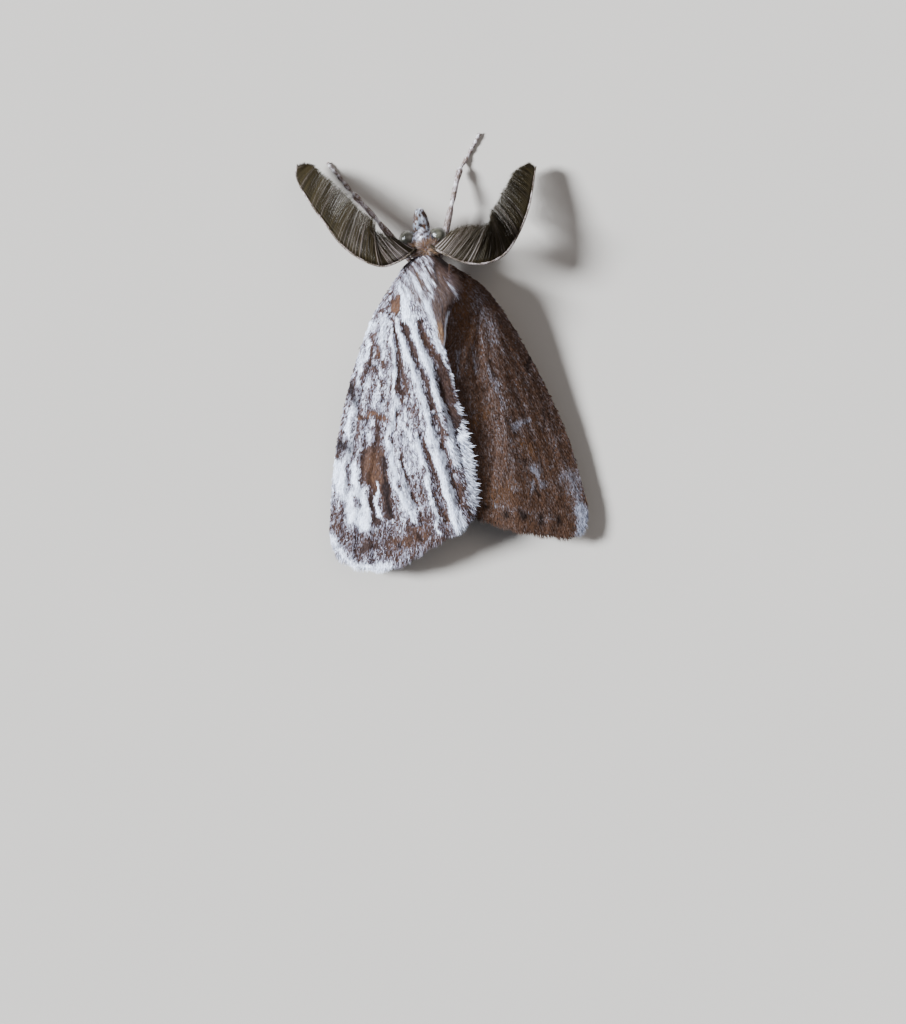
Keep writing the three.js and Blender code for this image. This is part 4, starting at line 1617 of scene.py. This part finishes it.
    def clear_of_eyes(self, roots: Roots, margin: float = 0.03) -> Roots:
        """The roots that aren't on an eye."""
        mirrored = np.abs(roots.place * (1, 0, 0)) + roots.place * (0, 1, 1)
        gap = np.linalg.norm(mirrored - np.asarray(self.eye), axis=-1)
        return roots.pick(gap > self.eye_radius + margin)

    def trunk_fur(self) -> Shape:
        """Softer fur on the thorax's sides and breast, under the wings."""
        roots, rng = self.roots(4200, self.seed + 2, (0.2, 4.2), (130, 410))
        count = len(roots.place)
        roots.lie = roots.lie + roots.stray(rng, 0.12)
        length = 0.30 + 0.25 * rng.random(count)
        lift = lifts(rng, 10, 14, count)
        return spikes(roots, length, 0.018, lift, bend=0.15, flat=0.55)

    def collar_fur(self) -> Shape:
        """The collar's upright rows of scales, behind the head."""
        roots, rng = self.roots(2600, self.seed + 3, (0.02, 0.62))
        count = len(roots.place)
        roots.lie = roots.lie + roots.stray(rng, 0.10)
        lift = lifts(rng, 16, 16, count)
        return spikes(roots, 0.26 + 0.16 * rng.random(count), 0.019, lift, bend=0.20, flat=0.5)

    def crown_tuft(self, count: int, length: float, radius: float, seed: int) -> Shape:
        """A layer of the tan tuft between the antennae, which spreads sideways and a little forwards.

        Args:
            count: How many hairs or locks of hair.
            length: Their least length.
            radius: Their radius at the root.
            seed: Added to the body's own.

        Returns:
            The layer.
        """
        roots, rng = self.roots(count, self.seed + seed, (-0.42, 0.06), (40, 140))
        roots = self.clear_of_eyes(roots)
        count = len(roots.place)
        x, station = roots.place[:, 0], roots.place[:, 1]
        spray = np.stack([1.7 * (x + 0.07), 0.02 + 0.8 * (station + 0.20), 0 * x], -1)
        roots.lie = unit(spray) + roots.stray(rng, 0.38)
        patchy = noise(x * 9 + 20, station * 9 + 20, 46)
        roots.marks["frost"] = np.maximum(roots.marks["frost"], 0.1 + 0.6 * patchy)
        roots.marks["dark"] = np.maximum(roots.marks["dark"], 0.7 * smoothstep(0.35, 0.1, patchy))
        lift = lifts(rng, 18, 30, count)
        reach = length * (1 + 0.7 * rng.random(count)) * (0.95 + 0.45 * np.abs(x))
        return spikes(roots, reach, radius, lift, bend=0.24, rings=3, flat=0.6)

    def face_scales(self) -> Shape:
        """Small flat scales on the face and round the eyes, which point forwards and down."""
        roots, rng = self.roots(7000, self.seed + 5, (-1.30, 0.02))
        roots = self.clear_of_eyes(roots, 0.01)
        crown = (roots.place[:, 2] > 2.72) & (roots.place[:, 1] > -0.40)
        roots = roots.pick(~crown)
        count = len(roots.place)
        forward = smoothstep(-0.40, -0.6, roots.place[:, 1])[:, None]
        roots.lie = roots.lie * (1 - 2 * forward) + roots.stray(rng, 0.16)
        lift = lifts(rng, 9, 16, count)
        return lancets(roots, 0.17 + 0.09 * rng.random(count), np.full(count, 0.058), lift)

    def cheek_tufts(self) -> Shape:
        """Two pale tufts beside the palps' roots, which flare forwards and outwards."""
        roots, rng = self.roots(2400, self.seed + 8, (-1.28, -1.0), (15, 165))
        roots = roots.pick(np.abs(np.abs(roots.place[:, 0]) - 0.33) < 0.12)
        count = len(roots.place)
        side = np.sign(roots.place[:, :1])
        roots.lie = side * (0.35, 0.0, 0.0) + (0.0, -1.0, 0.1) + roots.stray(rng, 0.16)
        roots.marks["frost"] = np.full(count, 0.95)
        return spikes(roots, 0.22 + 0.14 * rng.random(count), 0.020, 0.25, bend=0.1, flat=0.5)

    def abdomen_scales(self) -> Shape:
        """Shingled scales of the abdomen, longer at each ring's hind edge."""
        roots, rng = self.roots(5500, self.seed + 6, (4.15, self.ends[1]))
        count = len(roots.place)
        edge = near(((roots.place[:, 1] - 4.75) / 0.98) % 1.0, 0.9, 0.18)
        roots.lie = roots.lie + roots.stray(rng, 0.12)
        lift = lifts(rng, 6, 8, count)
        length = 0.26 + 0.10 * rng.random(count) + 0.10 * edge
        return lancets(roots, length, 0.115 + 0.03 * rng.random(count), lift)

    def tail_tuft(self) -> Shape:
        """The brush at the abdomen's end."""
        roots, rng = self.roots(1500, self.seed + 7, (self.ends[1] - 0.9, self.ends[1] - 0.01))
        count = len(roots.place)
        roots.lie = np.array([0.0, 1.0, 0.0]) + roots.stray(rng, 0.14)
        reach = self.stations[-1] - roots.place[:, 1]
        length = np.clip(reach * (0.75 + 0.25 * rng.random(count)), 0.2, 0.62)
        return spikes(roots, length, 0.022, 0.06, flat=0.6)

    def eye_ball(self, side: int) -> Shape:
        """A compound eye: a ball whose every facet is a small dome.

        A point's radius grows with how much nearer it is to its facet's centre than to the facet's border.
        The centres lie on a spiral that spaces them evenly.

        Args:
            side: 1 for the left eye, -1 for the right one.

        Returns:
            The eye.
        """
        rows, sides = self.eye_grid
        polar = np.pi * (np.arange(rows) + 0.5) / rows
        turn = 2 * np.pi * np.arange(sides) / sides
        p, t = np.meshgrid(polar, turn, indexing="ij")
        ball = np.stack([np.sin(p) * np.cos(t), np.sin(p) * np.sin(t), -np.cos(p)], -1)
        step = np.arange(self.facets) + 0.5
        high = 1 - 2 * step / self.facets
        swirl = step * np.pi * (1 + math.sqrt(5))
        level = np.sqrt(1 - high**2)
        centres = np.stack([level * np.cos(swirl), level * np.sin(swirl), high], -1)
        closeness = np.sort(ball.reshape(-1, 3) @ centres.T, axis=1)[:, -2:]
        apart = np.arccos(np.clip(closeness, -1, 1))
        pitch = math.sqrt(4 * np.pi / self.facets)
        facet = smoothstep(0.0, 0.45, (apart[:, 0] - apart[:, 1]) / pitch).reshape(p.shape)
        radius = self.eye_radius * (0.985 + 0.012 * facet)
        points = ball * radius[..., None] + np.asarray(self.eye) * (side, 1, 1)
        return closed_tube(points, {"facet": facet})

    def build(self) -> None:
        """Makes skin, fur and eyes."""
        fur, tuft = FUR.material(), TUFT.material()
        nodes = ("head", "collar", "thorax", "tegula_left", "tegula_right", "abdomen")
        make_piece("body_skin", self.skin(), fur, nodes)
        coats = {
            "thorax_fur": self.trunk_fur,
            "collar_fur": self.collar_fur,
            "face_scales": self.face_scales,
            "cheek_tufts": self.cheek_tufts,
            "abdomen_scales": self.abdomen_scales,
            "tail_tuft": self.tail_tuft,
        }
        for name, coat in coats.items():
            make_piece(name, coat(), fur, smooth=False)
        MANTLE.build(fur)
        make_piece("crown_hair", self.crown_tuft(2600, 0.30, 0.015, 4), tuft, smooth=False)
        make_piece("crown_locks", self.crown_tuft(420, 0.40, 0.034, 9), tuft, smooth=False)
        glossy = EyeFinish().material()
        for word, side in (("left", 1), ("right", -1)):
            make_piece(f"eye_{word}_facets", self.eye_ball(side), glossy, (f"eye_{word}",))


# ------------------------------------------------------------------ limbs


@dataclass
class Limb:
    """A round limb: circles square to a smooth path, with a radius that follows stops."""

    path: Line
    stops: Stops
    radii: Stops

    def axes(self, share: Array) -> tuple[Array, Array, Array, Array]:
        """Where the path is and how it runs.

        Args:
            share: Shares of its length.

        Returns:
            Middle points, ways along, ways to the side and ways up.
        """
        step = 1e-3
        low, high = np.clip(share - step, 0, 1), np.clip(share + step, 0, 1)
        way = unit(spline(self.path, high) - spline(self.path, low))
        side = unit(np.cross(way, UP))
        return spline(self.path, share), way, side, np.cross(side, way)

    def radius(self, share: Array) -> Array:
        """Radius at shares of the length."""
        return profile(share, self.stops, self.radii)

    def skin(self, rows: int, sides: int, tones: dict[str, Array] | None = None, seed: int = 0) -> Shape:
        """The limb's closed skin.

        Args:
            rows: Rings of points.
            sides: Points round a ring.
            tones: Markings by row.
            seed: Seeds the luck of its points.

        Returns:
            The skin.
        """
        share = np.linspace(0, 1, rows)
        middle, _, side, up = self.axes(share)
        angle = 2 * np.pi * np.arange(sides) / sides
        points = middle[:, None] + self.radius(share)[:, None, None] * circles(angle, side, up)
        shape = closed_tube(points[:, ::-1])
        rng = np.random.default_rng(seed)
        for name, value in (tones or {}).items():
            shape.marks[name] = np.r_[value[0], np.repeat(value, sides), value[-1]]
        shape.marks |= lots(rng, len(shape.points))
        return shape

    def roots(self, share: Array, angle: Array, rng: np.random.Generator) -> Roots:
        """Roots on the limb, lying towards its end.

        Args:
            share: Shares of its length.
            angle: Angles round it.
            rng: Source of luck.

        Returns:
            The roots, without markings.
        """
        middle, way, side, up = self.axes(share)
        out = np.cos(angle)[:, None] * side + np.sin(angle)[:, None] * up
        place = middle + 0.97 * self.radius(share)[:, None] * out
        bake = round_bake(angle, 0.01 + 0.97 * share)
        return Roots(place, way, out, bake, lots(rng, len(share)))


def on_ground(shape: Shape, soft: float = 0.03) -> Shape:
    """Presses what hangs lower than a soft height up over the ground.

    A height z below the soft one becomes the soft height times e to the power of (z over it, less 1).

    Args:
        shape: What is pressed.
        soft: The soft height.

    Returns:
        The same shape.
    """
    z = shape.points[:, 2]
    shape.points[:, 2] = np.where(z < soft, soft * np.exp(np.minimum(z / soft - 1, 0)), z)
    return shape


@dataclass
class Leg:
    """One leg: thigh, shin and five-jointed foot, with spurs, claws and banded scales."""

    name: str
    hip: tuple[float, float, float]
    knee: tuple[float, float, float]
    ankle: tuple[float, float, float]
    toe: tuple[float, float]
    seed: int
    thigh: float = 0.15
    shin: float = 0.105
    foot: float = 0.075
    sole: float = 0.11
    spurs: Stops = ()
    scales: int = 2600
    rows: int = 150
    sides: int = 14

    @property
    def path(self) -> Line:
        """Hip, knee, ankle, heel and toe."""
        ankle, toe = np.asarray(self.ankle), np.array([*self.toe, self.sole])
        heel = ankle + (toe - ankle) * 0.35
        heel[2] = self.sole
        return (self.hip, self.knee, self.ankle, tuple(heel), tuple(toe))

    @property
    def joints_at(self) -> tuple[float, float]:
        """Shares of the leg's length at which knee and ankle lie."""
        lengths = np.linalg.norm(np.diff(np.asarray(self.path), axis=0), axis=1)
        return lengths[0] / lengths.sum(), lengths[:2].sum() / lengths.sum()

    def limb(self) -> Limb:
        """The leg's path and thickness, with a waist at each joint."""
        k, a = self.joints_at
        stops = [0.0, 0.4 * k, 0.85 * k, k, k + 0.12 * (a - k), k + 0.6 * (a - k), a - 0.04 * (a - k)]
        radii = [0.7 * self.thigh, self.thigh, 0.8 * self.thigh, 0.7 * self.shin, self.shin,
                 0.95 * self.shin, 1.05 * self.shin]
        joints = a + (1 - a) * np.array([0.02, 0.36, 0.40, 0.58, 0.62, 0.76, 0.80, 0.91, 0.94, 1.0])
        stops += list(joints)
        radii += [self.foot * r for r in (0.8, 1.1, 0.78, 1.05, 0.76, 1.0, 0.74, 0.95, 0.72, 0.5)]
        return Limb(self.path, tuple(stops), tuple(radii))

    def tones(self, share: Array) -> dict[str, Array]:
        """Pale bands at the ends of shin and foot joints, on a brown ground."""
        knee, ankle = self.joints_at
        foot = (share - ankle) / (1 - ankle)
        bands = sum(near(foot, at, 0.035) for at in (0.38, 0.60, 0.78, 0.92))
        bands = bands + near(share, ankle, 0.018) + near(share, knee, 0.022)
        bands = bands + 0.55 * near(share, (knee + ankle) / 2, 0.03)
        frost = np.clip(0.42 + 0.55 * bands + 0.3 * (noise(share * 60, 0.0, self.seed) - 0.5), 0, 1)
        return {"frost": frost, "dark": np.clip(0.25 - 0.4 * bands, 0, 1), "ochre": 0 * share + 0.15}

    def coat(self, limb: Limb) -> Shape:
        """Scales that lie towards the foot."""
        share, angle, rng = spread(self.scales, self.seed)
        angle = 2 * np.pi * angle
        roots = limb.roots(share, angle, rng)
        roots.marks |= self.tones(share)
        slim = limb.radius(share) / self.thigh
        length = (0.13 + 0.09 * slim) * (0.8 + 0.4 * rng.random(len(share)))
        lift = lifts(rng, 5, 7, len(share))
        return on_ground(lancets(roots, length, 0.045 + 0.02 * slim, lift, 0.010))

    def horn(self, limb: Limb) -> Shape:
        """Paired spurs on the shin and two curved claws."""
        rng = np.random.default_rng(self.seed + 1)
        knee, ankle = self.joints_at
        share = np.repeat([knee + s * (ankle - knee) for s in self.spurs], 2)
        angle = np.tile(np.radians([235.0, 305.0]), len(self.spurs))
        claw_share, claw_angle = np.full(2, 0.992), np.radians([155.0, 25.0])
        both = np.concatenate([share, claw_share]), np.concatenate([angle, claw_angle])
        roots = limb.roots(*both, rng)
        length = np.concatenate([np.tile([0.42, 0.30], len(self.spurs)), [0.17, 0.17]])
        radius = np.concatenate([np.full(len(share), 0.032), [0.022, 0.022]])
        bend = -0.45 * UP * np.concatenate([np.zeros(len(share)), [1, 1]])[:, None]
        lift = np.concatenate([np.full(len(share), 0.42), [0.45, 0.45]])
        return on_ground(spikes(roots, length, radius, lift, bend=bend, rings=5, sides=6))

    def build(self, scaly: bpy.types.Material, horny: bpy.types.Material) -> None:
        """Makes the leg's pieces.

        Args:
            scaly: Material of skin and scales.
            horny: Material of spurs and claws.
        """
        limb = self.limb()
        tones = self.tones(np.linspace(0, 1, self.rows))
        nodes = tuple(f"{self.name}_{part}" for part in ("femur", "tibia", "tarsus"))
        skin = on_ground(limb.skin(self.rows, self.sides, tones, self.seed))
        make_piece(f"{self.name}_skin", skin, scaly, nodes)
        make_piece(f"{self.name}_scales", self.coat(limb), scaly, smooth=False)
        horn = self.horn(limb)
        horn.bake = None
        make_piece(f"{self.name}_spurs_and_claws", horn, horny)


def all_legs() -> list[Leg]:
    """The six legs. The forelegs differ, the others mirror each other."""
    legs = [
        Leg("foreleg_left", (0.75, 0.25, 1.1), (2.2, -2.05, 1.15), (3.3, -3.65, 0.45), (4.5, -5.5), 500),
        Leg("foreleg_right", (-0.75, 0.25, 1.1), (-1.7, -2.45, 1.15), (-2.36, -4.3, 0.45), (-3.6, -6.1), 510),
    ]
    for word, side, seed in (("left", 1, 520), ("right", -1, 540)):
        hip, knee, ankle = (side * 1.0, 1.9, 1.0), (side * 3.1, 3.6, 1.05), (side * 4.2, 6.2, 0.45)
        legs.append(Leg(f"midleg_{word}", hip, knee, ankle, (side * 4.6, 8.6), seed, spurs=(0.94,)))
        hip, knee, ankle = (side * 1.0, 3.2, 1.0), (side * 2.2, 6.0, 0.70), (side * 2.9, 9.8, 0.40)
        toe = (side * 3.3, 12.8)
        legs.append(Leg(f"hindleg_{word}", hip, knee, ankle, toe, seed + 10, spurs=(0.6, 0.95)))
    return legs


@dataclass
class Antenna:
    """A feathered antenna: a pale jointed shaft with two rows of long curved barbs, each with cilia."""

    name: str
    side: int
    path: Line
    seed: int
    joints: int = 104
    rings_per_joint: int = 6
    sides: int = 12
    scales: int = 2600
    barb_radius: float = 0.032
    cilia: int = 76
    cilium_length: float = 0.15
    cilium_radius: float = 0.011
    stops: Stops = (0.0, 0.04, 0.09, 0.16, 0.25, 0.5, 0.65, 0.8, 0.9, 1.0)
    lengths: Stops = (0.5, 0.95, 1.4, 1.72, 1.88, 1.80, 1.62, 1.32, 1.0, 0.34)
    leans: Stops = (58.0, 66.0, 72.0, 73.0, 69.0, 56.0, 52.0, 50.0, 50.0, 50.0)

    def shaft(self) -> Limb:
        """The shaft, thick at its first joint and thinner towards its tip."""
        return Limb(self.path, (0, 0.02, 0.05, 0.09, 0.5, 1.0), (0.075, 0.088, 0.074, 0.058, 0.048, 0.024))

    def beads(self, limb: Limb) -> Shape:
        """The shaft's skin, a little swollen at the end of each joint."""
        rows = self.rings_per_joint * self.joints
        share = np.linspace(0, 1, rows)
        pale = smoothstep(0.03, 0.08, share)
        tones = {"frost": 0.4 * pale, "dark": 0.2 * (1 - pale), "ochre": 0 * share}
        shape = limb.skin(rows, self.sides, tones, self.seed)
        middle = limb.axes(share)[0][:, None]
        swell = 1 + 0.10 * np.sin(2 * np.pi * share * self.joints)
        ring = shape.points[1:-1].reshape(rows, self.sides, 3)
        shape.points[1:-1] = (middle + (ring - middle) * swell[:, None, None]).reshape(-1, 3)
        return shape

    def shaft_scales(self, limb: Limb) -> Shape:
        """Pale scales on the shaft's back."""
        share, angle, rng = spread(self.scales, self.seed + 1)
        angle = np.radians(-30 + 240 * angle)
        roots = limb.roots(share, angle, rng)
        band = noise(share * 30, 0.0, self.seed)
        pale = smoothstep(0.03, 0.08, share)
        roots.marks |= {"frost": (0.2 + 0.5 * band) * pale, "dark": 0.2 * (1 - band)}
        roots.marks["ochre"] = 0.25 * (1 - band)
        return lancets(roots, 0.12 + 0.05 * rng.random(len(share)), np.full(len(share), 0.036), 0.08, 0.006)

    def barbs(self, limb: Limb) -> tuple[Shape, Shape]:
        """Two rows of barbs, which lean outwards, and the cilia on them.

        A barb's way is the shaft's way times the cosine of the lean plus the inward way times its sine. The
        upper row rises a little and the lower one falls away from it. Each curves towards the shaft's tip.

        Returns:
            Barbs and cilia.
        """
        rng = np.random.default_rng(self.seed + 2)
        count = 2 * self.joints
        row = np.repeat([0, 1], self.joints)
        share = np.tile(0.035 + 0.96 * (np.arange(self.joints) + 0.5) / self.joints, 2)
        share = share + 0.0046 * row + 0.0002 * rng.standard_normal(count)
        middle, way, _, _ = limb.axes(share)
        inward = self.side * unit(np.cross(way, UP))
        tilt = np.radians(np.where(row == 0, 14.0, -24.0) + 1.5 * rng.standard_normal(count))[:, None]
        inward = inward * np.cos(tilt) + UP * np.sin(tilt)
        lean = profile(share, self.stops, self.leans) - 4.0 * row + 0.6 * rng.standard_normal(count)
        lean = np.radians(lean)[:, None]
        lie = way * np.cos(lean) + inward * np.sin(lean)
        out = unit(np.cross(lie, way) * self.side)
        out = out * np.where(out[:, 2:] < 0, -1, 1)
        length = profile(share, self.stops, self.lengths) * (0.96 + 0.08 * rng.random(count))
        length = length * (1 + 0.16 * row)
        marks = lots(rng, count)
        marks |= {"dark": 0.25 * rng.random(count), "ochre": 0.2 + 0.5 * share}
        marks["frost"] = 0.05 + 0.38 * smoothstep(0.42, 0.12, share)
        bake = np.stack([0.05 + 0.4 * row + 0.05 * rng.random(count), 0.02 + 0.95 * share], -1)
        roots = Roots(middle + 0.04 * inward, lie, out, bake, marks)
        bend = inward * 0.24 - way * 0.06 - UP * 0.04
        barbs = spikes(roots, length, self.barb_radius, bend=bend, rings=8, sides=5, flat=0.8)
        barbs.marks["tip"] = smoothstep(0.72, 1.0, barbs.marks["tip"])
        s = np.tile(0.06 + 0.92 * (np.arange(self.cilia) + 0.5) / self.cilia, count)
        of = np.repeat(np.arange(count), self.cilia)
        place = roots.place[of] + length[of, None] * (lie[of] * s[:, None] + bend[of] * (s**2)[:, None])
        flip = np.where(np.arange(len(of)) % 2 == 0, 1.0, -1.0)[:, None]
        hair = lie[of] * 0.7 + flip * np.cross(out[of], lie[of]) * 0.75
        hair = unit(hair + 0.15 * rng.standard_normal((len(of), 3)))
        fine = {name: value[of] for name, value in (marks | {"frost": 0 * share}).items()}
        tiny = Roots(place, hair, out[of], bake[of] + (0.45, 0.0), fine)
        cilia = spikes(tiny, self.cilium_length + 0.06 * rng.random(len(of)), self.cilium_radius, rings=1)
        cilia.marks["tip"] = 0.25 * cilia.marks["tip"]
        return barbs, cilia

    def build(self, material: bpy.types.Material) -> None:
        """Makes the antenna's pieces in the plume's material."""
        limb = self.shaft()
        make_piece(f"{self.name}_shaft", self.beads(limb), material, (self.name,))
        barbs, cilia = self.barbs(limb)
        make_piece(f"{self.name}_shaft_scales", self.shaft_scales(limb), material, smooth=False)
        make_piece(f"{self.name}_barbs", barbs, material)
        make_piece(f"{self.name}_cilia", cilia, material, smooth=False)


@dataclass
class Mouthparts:
    """Two scaly palps that form a short snout, and the coiled tongue between them."""

    palp: Line = ((0.20, -1.15, 1.42), (0.195, -1.45, 1.50), (0.145, -1.88, 1.66), (0.085, -2.26, 1.84))
    radii: Stops = (0.12, 0.15, 0.115, 0.05)
    coil_radius: float = 0.235
    coil_centre: tuple[float, float, float] = (0.0, -1.12, 0.94)
    turns: float = 2.6
    coil_rows: int = 160
    rows: int = 60
    sides: int = 16
    scales: int = 3000
    seed: int = 700

    def palp_limb(self, side: int) -> Limb:
        """A palp's path and thickness."""
        path = tuple((side * x, y, z) for x, y, z in self.palp)
        return Limb(path, (0.0, 0.3, 0.75, 1.0), self.radii)

    def palp_scales(self, side: int, limb: Limb) -> Shape:
        """Pale scales in forward-pointing tufts, with brown spots."""
        share, angle, rng = spread(self.scales, self.seed + side)
        angle = 2 * np.pi * angle
        roots = limb.roots(share, angle, rng)
        spots = noise(share * 10, angle * 2.4, self.seed + 3 * side)
        inner = near(share, 0.72, 0.12) * smoothstep(0.0, 0.8, -side * np.cos(angle))
        dark = np.maximum(0.9 * smoothstep(0.52, 0.68, spots), 0.9 * inner)
        roots.marks |= {"frost": 0.80 - 0.8 * dark, "dark": 0.5 * dark, "ochre": 0.6 * dark}
        outer = smoothstep(0.2, 0.9, side * np.cos(angle))
        length = 0.18 + 0.12 * rng.random(len(share)) - 0.05 * share + 0.08 * outer
        lift = lifts(rng, 8, 26 + 14 * outer, len(share))
        return lancets(roots, length, np.full(len(share), 0.046), lift)

    def tongue(self) -> Shape:
        """A flat coil: the radius shrinks evenly with the angle, and the tube thins towards its end."""
        angle = np.linspace(-0.5 * np.pi, -0.5 * np.pi + 2 * np.pi * self.turns, 200)
        share = np.linspace(0, 1, 200)
        reach = self.coil_radius * (1 - 0.80 * share)
        x, y, z = self.coil_centre
        path = np.stack([x + 0.05 * (share - 0.5), y + reach * np.cos(angle), z + reach * np.sin(angle)], -1)
        limb = Limb(tuple(map(tuple, path[::8])), (0.0, 0.5, 1.0), (0.038, 0.032, 0.012))
        share = np.linspace(0, 1, self.coil_rows)
        middle, way, _, _ = limb.axes(share)
        side = np.broadcast_to([1.0, 0.0, 0.0], way.shape)
        up = unit(np.cross(side, way))
        turn = 2 * np.pi * np.arange(12) / 12
        ring = 2.2 * np.cos(turn)[:, None] * side[:, None] + np.sin(turn)[:, None] * up[:, None]
        radius = limb.radius(share) * (1 + 0.05 * np.sin(share * 2 * np.pi * 40))
        return closed_tube((middle[:, None] + radius[:, None, None] * ring)[:, ::-1])

    def build(self, horny: bpy.types.Material) -> None:
        """Makes palps and tongue, the tongue in the material of bare horn."""
        scaly = PALP.material()
        tones = {tone: np.full(self.rows, v) for tone, v in (("frost", 0.7), ("dark", 0.0), ("ochre", 0.2))}
        for word, side in (("left", 1), ("right", -1)):
            limb = self.palp_limb(side)
            skin = limb.skin(self.rows, self.sides, tones, self.seed)
            make_piece(f"palp_{word}_skin", skin, scaly, (f"palp_{word}",))
            scales = self.palp_scales(side, limb)
            make_piece(f"palp_{word}_scales", scales, scaly, smooth=False)
        make_piece("tongue_coil", self.tongue(), horny, ("tongue",))


# ------------------------------------------------------------------ the studio


@dataclass
class Studio:
    """A pale floor, soft light from the moth's left, and a camera that looks straight down on its back."""

    frame_height: float = 53.9
    focus: tuple[float, float, float] = (0.13, 13.61, 2.0)
    turn: float = 173.2
    lens: float = 140.0
    sensor: float = 36.0
    floor_half: float = 1.5
    key_side: tuple[float, float, float] = (0.82, -0.20, 0.56)
    fill_side: tuple[float, float, float] = (-0.5, -0.35, 0.8)
    surround: tuple[float, float, float, float] = (0.86, 0.90, 1.0, 1.0)
    surround_strength: float = 0.26

    def camera(self) -> None:
        """Sets the camera over the focus, at the height from which it takes in the frame height."""
        data = bpy.data.cameras.new("camera")
        data.lens, data.sensor_width, data.clip_start = self.lens, self.sensor, 0.002
        made = added("camera", data)
        x, station, z = self.focus
        height = z + self.frame_height * self.lens / self.sensor
        made.location = (x * MM, (station + NECK) * MM, height * MM)
        made.rotation_euler = (0.0, 0.0, math.radians(self.turn))
        bpy.context.scene.camera = made

    def floor(self) -> None:
        """A square board whose upper face is the ground."""
        half = self.floor_half
        corners = [(-half, -half, 0), (half, -half, 0), (half, half, 0), (-half, half, 0)]
        mesh = bpy.data.meshes.new("floor")
        mesh.from_pydata(corners, [], [(0, 1, 2, 3)])
        mesh.materials.append(FloorFinish().material())
        added("floor", mesh)

    def lamp(self, name: str, toward: Colour, strength: float, softness: float, colour: Colour) -> None:
        """A far, soft lamp, which lights everything evenly.

        Args:
            name: The lamp's name.
            toward: Direction in which it stands.
            strength: Its strength.
            softness: Angle in radians over which its light is spread.
            colour: Its colour.
        """
        data = bpy.data.lights.new(name, "SUN")
        data.energy, data.angle, data.color = strength, softness, colour
        added(name, data).rotation_euler = Vector(toward).to_track_quat("Z", "Y").to_euler()

    def build(self) -> None:
        """Makes camera, floor, lamps and the pale surround."""
        self.camera()
        self.floor()
        self.lamp("key", self.key_side, 15.3, 0.26, (0.86, 0.93, 1.0))
        self.lamp("fill", self.fill_side, 0.7, 0.8, (1.0, 0.93, 0.86))
        world = bpy.data.worlds.new("surround")
        world.use_nodes = True
        inputs = world.node_tree.nodes["Background"].inputs
        inputs["Color"].default_value = self.surround
        inputs["Strength"].default_value = self.surround_strength
        bpy.context.scene.world = world


# ------------------------------------------------------------------ the whole moth


def all_wings() -> list[Wing]:
    """The four wings. The left forewing lies over the right one, with its inner margin let down on it."""
    hind = dict(plan=HINDWING_PLAN, finish=HINDWING, slot="hindwing_scales", marks=(), frost=0.45,
                depth=0.50, sink=0.2, ridge_height=0.05, valley_depth=0.0, fringe=0.6, scale_length=0.30,
                scale_width=0.12, cover=7000, slender=2500, underside=4000, fringe_hairs=250, inner_lean=10.0,
                rows=80, columns=50)
    # The left forewing's higher frost and vigour are painted light, the right one's lower frost and vigour
    # are painted shade.
    left = dict(finish=WING_PAINTED_LIGHT, marks=LEFT_MARKS, seed=100, frost=0.45, vigour=0.62, droop=0.12)
    right = dict(finish=WING_PAINTED_SHADE, marks=RIGHT_MARKS, seed=150, frost=0.24, ochre=0.14, vigour=0.30,
                 ridge_height=0.022, valley_depth=0.028)
    return [
        Wing("forewing_left", 1, FOREWING_LEFT, slot="forewing_scales", **left),
        Wing("forewing_right", -1, FOREWING_RIGHT, slot="forewing_scales", **right),
        Wing("hindwing_left", 1, seed=200, **hind),
        Wing("hindwing_right", -1, seed=250, **hind),
    ]


LEFT_ANTENNA = (
    (0.36, -0.42, 2.72), (0.55, -0.2, 3.12), (1.35, 0.24, 3.42), (2.21, 0.43, 3.5), (3.11, 0.08, 3.42),
    (4.18, -0.87, 3.05), (4.98, -2.18, 2.5), (5.66, -3.43, 1.98), (6.05, -4.27, 1.62), (6.25, -5.08, 1.3),
    (6.15, -5.5, 1.15),
)
RIGHT_ANTENNA = (
    (-0.36, -0.42, 2.72), (-0.55, -0.2, 3.14), (-1.24, 0.3, 3.52), (-1.9, 0.68, 3.6), (-2.6, 0.88, 3.58),
    (-3.4, 0.85, 3.42), (-4.2, 0.48, 3.1), (-5.05, -0.55, 2.55), (-5.75, -1.9, 2.0), (-6.35, -3.9, 1.25),
)


def main() -> None:
    """Builds the studio and the moth."""
    logging.basicConfig(level=logging.INFO, format="%(message)s")
    Studio().build()
    Body().build()
    for wing in all_wings():
        wing.build()
    scaly, horny, plume = LEG.material(), ChitinFinish().material(), PLUME.material()
    for leg in all_legs():
        leg.build(scaly, horny)
    Antenna("antenna_left", 1, LEFT_ANTENNA, 600).build(plume)
    Antenna("antenna_right", -1, RIGHT_ANTENNA, 620).build(plume)
    Mouthparts().build(horny)


if __name__ == "__main__":
    main()
